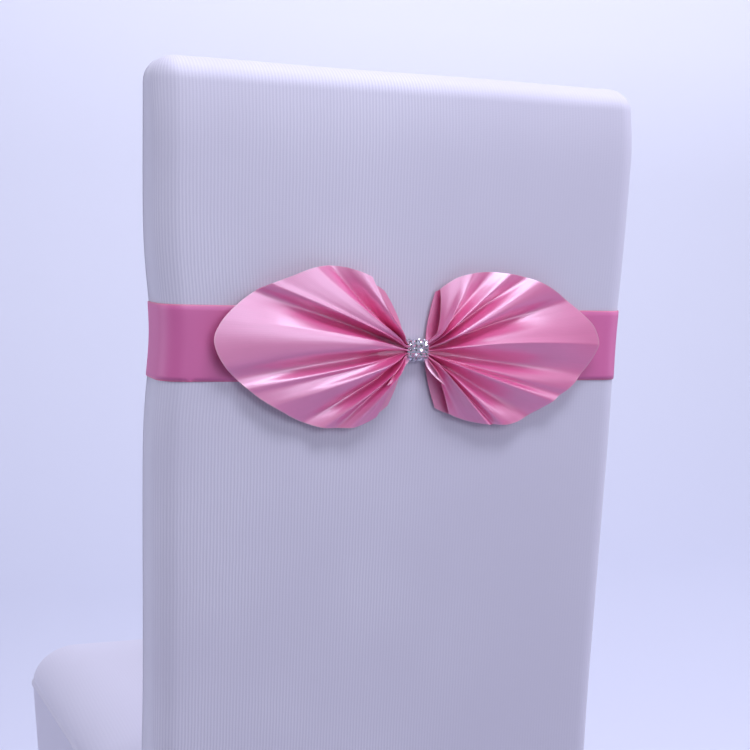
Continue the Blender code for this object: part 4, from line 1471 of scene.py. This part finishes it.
# %% [markdown]
# ## Floor, backdrop and light
# The photograph is high-key: a pale, slightly blue backdrop and a cover in soft lavender shade with
# bright top and side edges. One swept sheet of matt paper is floor and backdrop. Its colour holds
# painted light and shade: it is painted paler towards its top, and painted shade makes it darker
# where the camera stands, so that the slopes of satin that face down stay deep.

# %% Studio paper
BACKDROP_TOP_LIT = "#F4F5FA"
BACKDROP_LOW_SHADE = "#D9DBE9"
FLOOR_CAMERA_SIDE_SHADE = "#A8A6B8"
PALE_BY = 1.7
FLOOR_FAR_Y = 1.2
FLOOR_NEAR_Y = -0.4


def backdrop_material():
    """Matt studio paper, with painted light making it paler towards its top and painted shade making it
    darker under the camera.
    """
    material, tree = start_material("matt_studio_paper")
    place = add_node(tree, "ShaderNodeTexCoord")
    spot = add_node(tree, "ShaderNodeSeparateXYZ", {"Vector": place.outputs["Object"]})
    # Painted light: the paper is painted paler towards its top.
    height = add_node(tree, "ShaderNodeMapRange", {
        "Value": spot.outputs["Z"], "From Min": HEM_LEVEL, "From Max": HEM_LEVEL + PALE_BY})
    grain = add_node(tree, "ShaderNodeTexNoise", {
        "Vector": place.outputs["Object"], "Scale": 260.0, "Detail": 2.0})
    tone = add_node(tree, "ShaderNodeMix", {
        "Factor": height.outputs["Result"], "A": linear(BACKDROP_LOW_SHADE), "B": linear(BACKDROP_TOP_LIT)},
        data_type="RGBA")
    # Painted shade: the floor is painted darker where the camera stands.
    camera_side_shade = add_node(tree, "ShaderNodeMapRange", {
        "Value": spot.outputs["Y"], "From Min": FLOOR_FAR_Y, "From Max": FLOOR_NEAR_Y},
        interpolation_type="SMOOTHSTEP")
    painted_light_and_shade_tone = add_node(tree, "ShaderNodeMix", {
        "Factor": camera_side_shade.outputs["Result"], "A": tone.outputs["Result"], "B": linear(FLOOR_CAMERA_SIDE_SHADE)},
        data_type="RGBA")
    bump = add_node(tree, "ShaderNodeBump", {
        "Strength": 0.05, "Distance": 0.0003, "Height": grain.outputs["Fac"]})
    shader = add_node(tree, "ShaderNodeBsdfPrincipled", {
        "Base Color": painted_light_and_shade_tone.outputs["Result"], "Roughness": 0.9, "Specular IOR Level": 0.2,
        "Normal": bump.outputs["Normal"]})
    add_node(tree, "ShaderNodeOutputMaterial", {"Surface": shader.outputs["BSDF"]})
    return material


paper = backdrop_material()
print("material:", paper.name)

# %% [markdown]
# ## A sweep of paper
# One edge is extruded into the floor, spun up through a quarter circle and extruded into the wall, so
# no corner line shows behind the chair cover.

# %% Floor and backdrop
SWEEP_NEAR = -3.2
SWEEP_FAR = 2.6
SWEEP_RADIUS = 1.2
SWEEP_HEIGHT = 3.4
SWEEP_HALF_WIDTH = 6.0
SWEEP_STEPS = 24


def make_backdrop():
    """Floor that sweeps up into a backdrop, spun through a quarter circle."""
    form = bmesh.new()
    ends = [form.verts.new((x, SWEEP_NEAR, HEM_LEVEL)) for x in (-SWEEP_HALF_WIDTH, SWEEP_HALF_WIDTH)]
    far_edge, far = extrude_edges(form, [form.edges.new(ends)])
    bmesh.ops.translate(form, vec=(0, SWEEP_FAR - SWEEP_NEAR, 0), verts=far)
    turned = bmesh.ops.spin(
        form, geom=far_edge, cent=(0, SWEEP_FAR, HEM_LEVEL + SWEEP_RADIUS), axis=(1, 0, 0),
        angle=math.pi / 2, steps=SWEEP_STEPS, use_duplicate=False)["geom_last"]
    top = extrude_edges(form, edges_in(turned))[1]
    bmesh.ops.translate(form, vec=(0, 0, SWEEP_HEIGHT), verts=top)
    bmesh.ops.recalc_face_normals(form, faces=form.faces)
    if sum(face.normal.z for face in form.faces) < 0:
        bmesh.ops.reverse_faces(form, faces=form.faces)
    backdrop = link_object("backdrop", form, [paper])
    return backdrop


backdrop = make_backdrop()
print("backdrop:", len(backdrop.data.polygons), "faces")

# %% [markdown]
# ## The lights
# Area lights stand in for softboxes and a white wall. They are placed by the highlights that they
# make. A broad one in front, near the bow's height, gives the satin its gloss. A higher, steeper one
# puts the shadow under the bow. A dim one above lights the top roll, and a dim low one keeps the
# folds that face down from going grey. Two side panels brighten the edges, and the backdrop has its
# own wash. All share one cool white.

# %% Lights
LIGHT_COLOUR = "#E9EAFF"
AIR_STRENGTH = 0.165
SOFTBOXES = (
    ("key_front", (0.30, -1.95, 0.40), (0.0, 0.0, -0.2), 1.1, 0.7, 11.4),
    ("low_front", (0.15, -1.75, -0.95), (0.0, 0.0, -0.25), 1.0, 0.5, 2.0),
    ("high_front", (0.00, -0.90, 1.20), (0.0, 0.0, -0.2), 1.0, 0.45, 15.5),
    ("top_softbox", (0.0, 0.15, 1.60), (0.0, 0.05, -0.2), 1.6, 0.8, 5.0),
    ("backdrop_wash", (2.2, 0.6, 3.2), (2.0, 3.8, 0.5), 5.5, 1.2, 195.0),
    ("left_panel", (-1.9, 0.6, 0.0), (0.0, 0.1, -0.4), 1.0, 1.8, 15.0),
    ("right_panel", (1.9, -0.3, 0.2), (0.0, 0.0, -0.3), 1.0, 1.8, 12.0),
)


def add_softbox(name, place, target, width, height, power):
    """An area light that faces a point."""
    data = bpy.data.lights.new(name, "AREA")
    data.shape = "RECTANGLE"
    data.size = width
    data.size_y = height
    data.energy = power
    data.color = linear(LIGHT_COLOUR)[:3]
    light = bpy.data.objects.new(name, data)
    facing = (Vector(target) - Vector(place)).to_track_quat("-Z", "Y")
    light.matrix_world = Matrix.Translation(place) @ facing.to_matrix().to_4x4()
    bpy.context.scene.collection.objects.link(light)


def light_the_air():
    """Even pale light from all round, as white studio walls give."""
    world = bpy.data.worlds.new("studio_air")
    bpy.context.scene.world = world
    world.use_nodes = True
    world.node_tree.nodes.clear()
    air = add_node(world.node_tree, "ShaderNodeBackground", {
        "Color": linear(LIGHT_COLOUR), "Strength": AIR_STRENGTH})
    add_node(world.node_tree, "ShaderNodeOutputWorld", {"Surface": air.outputs["Background"]})


light_the_air()
for softbox in SOFTBOXES:
    add_softbox(*softbox)
bpy.context.scene.view_settings.view_transform = "Standard"
print("lights:", len(SOFTBOXES), "and the air")

# %% [markdown]
# ## The cloths
# Seven of the pieces are cloth. The back panel wraps the back, the top and both sides, and the bow's
# cloth is measured over its pleats in the area that is printed for it.

print("cloths declared:", 7)
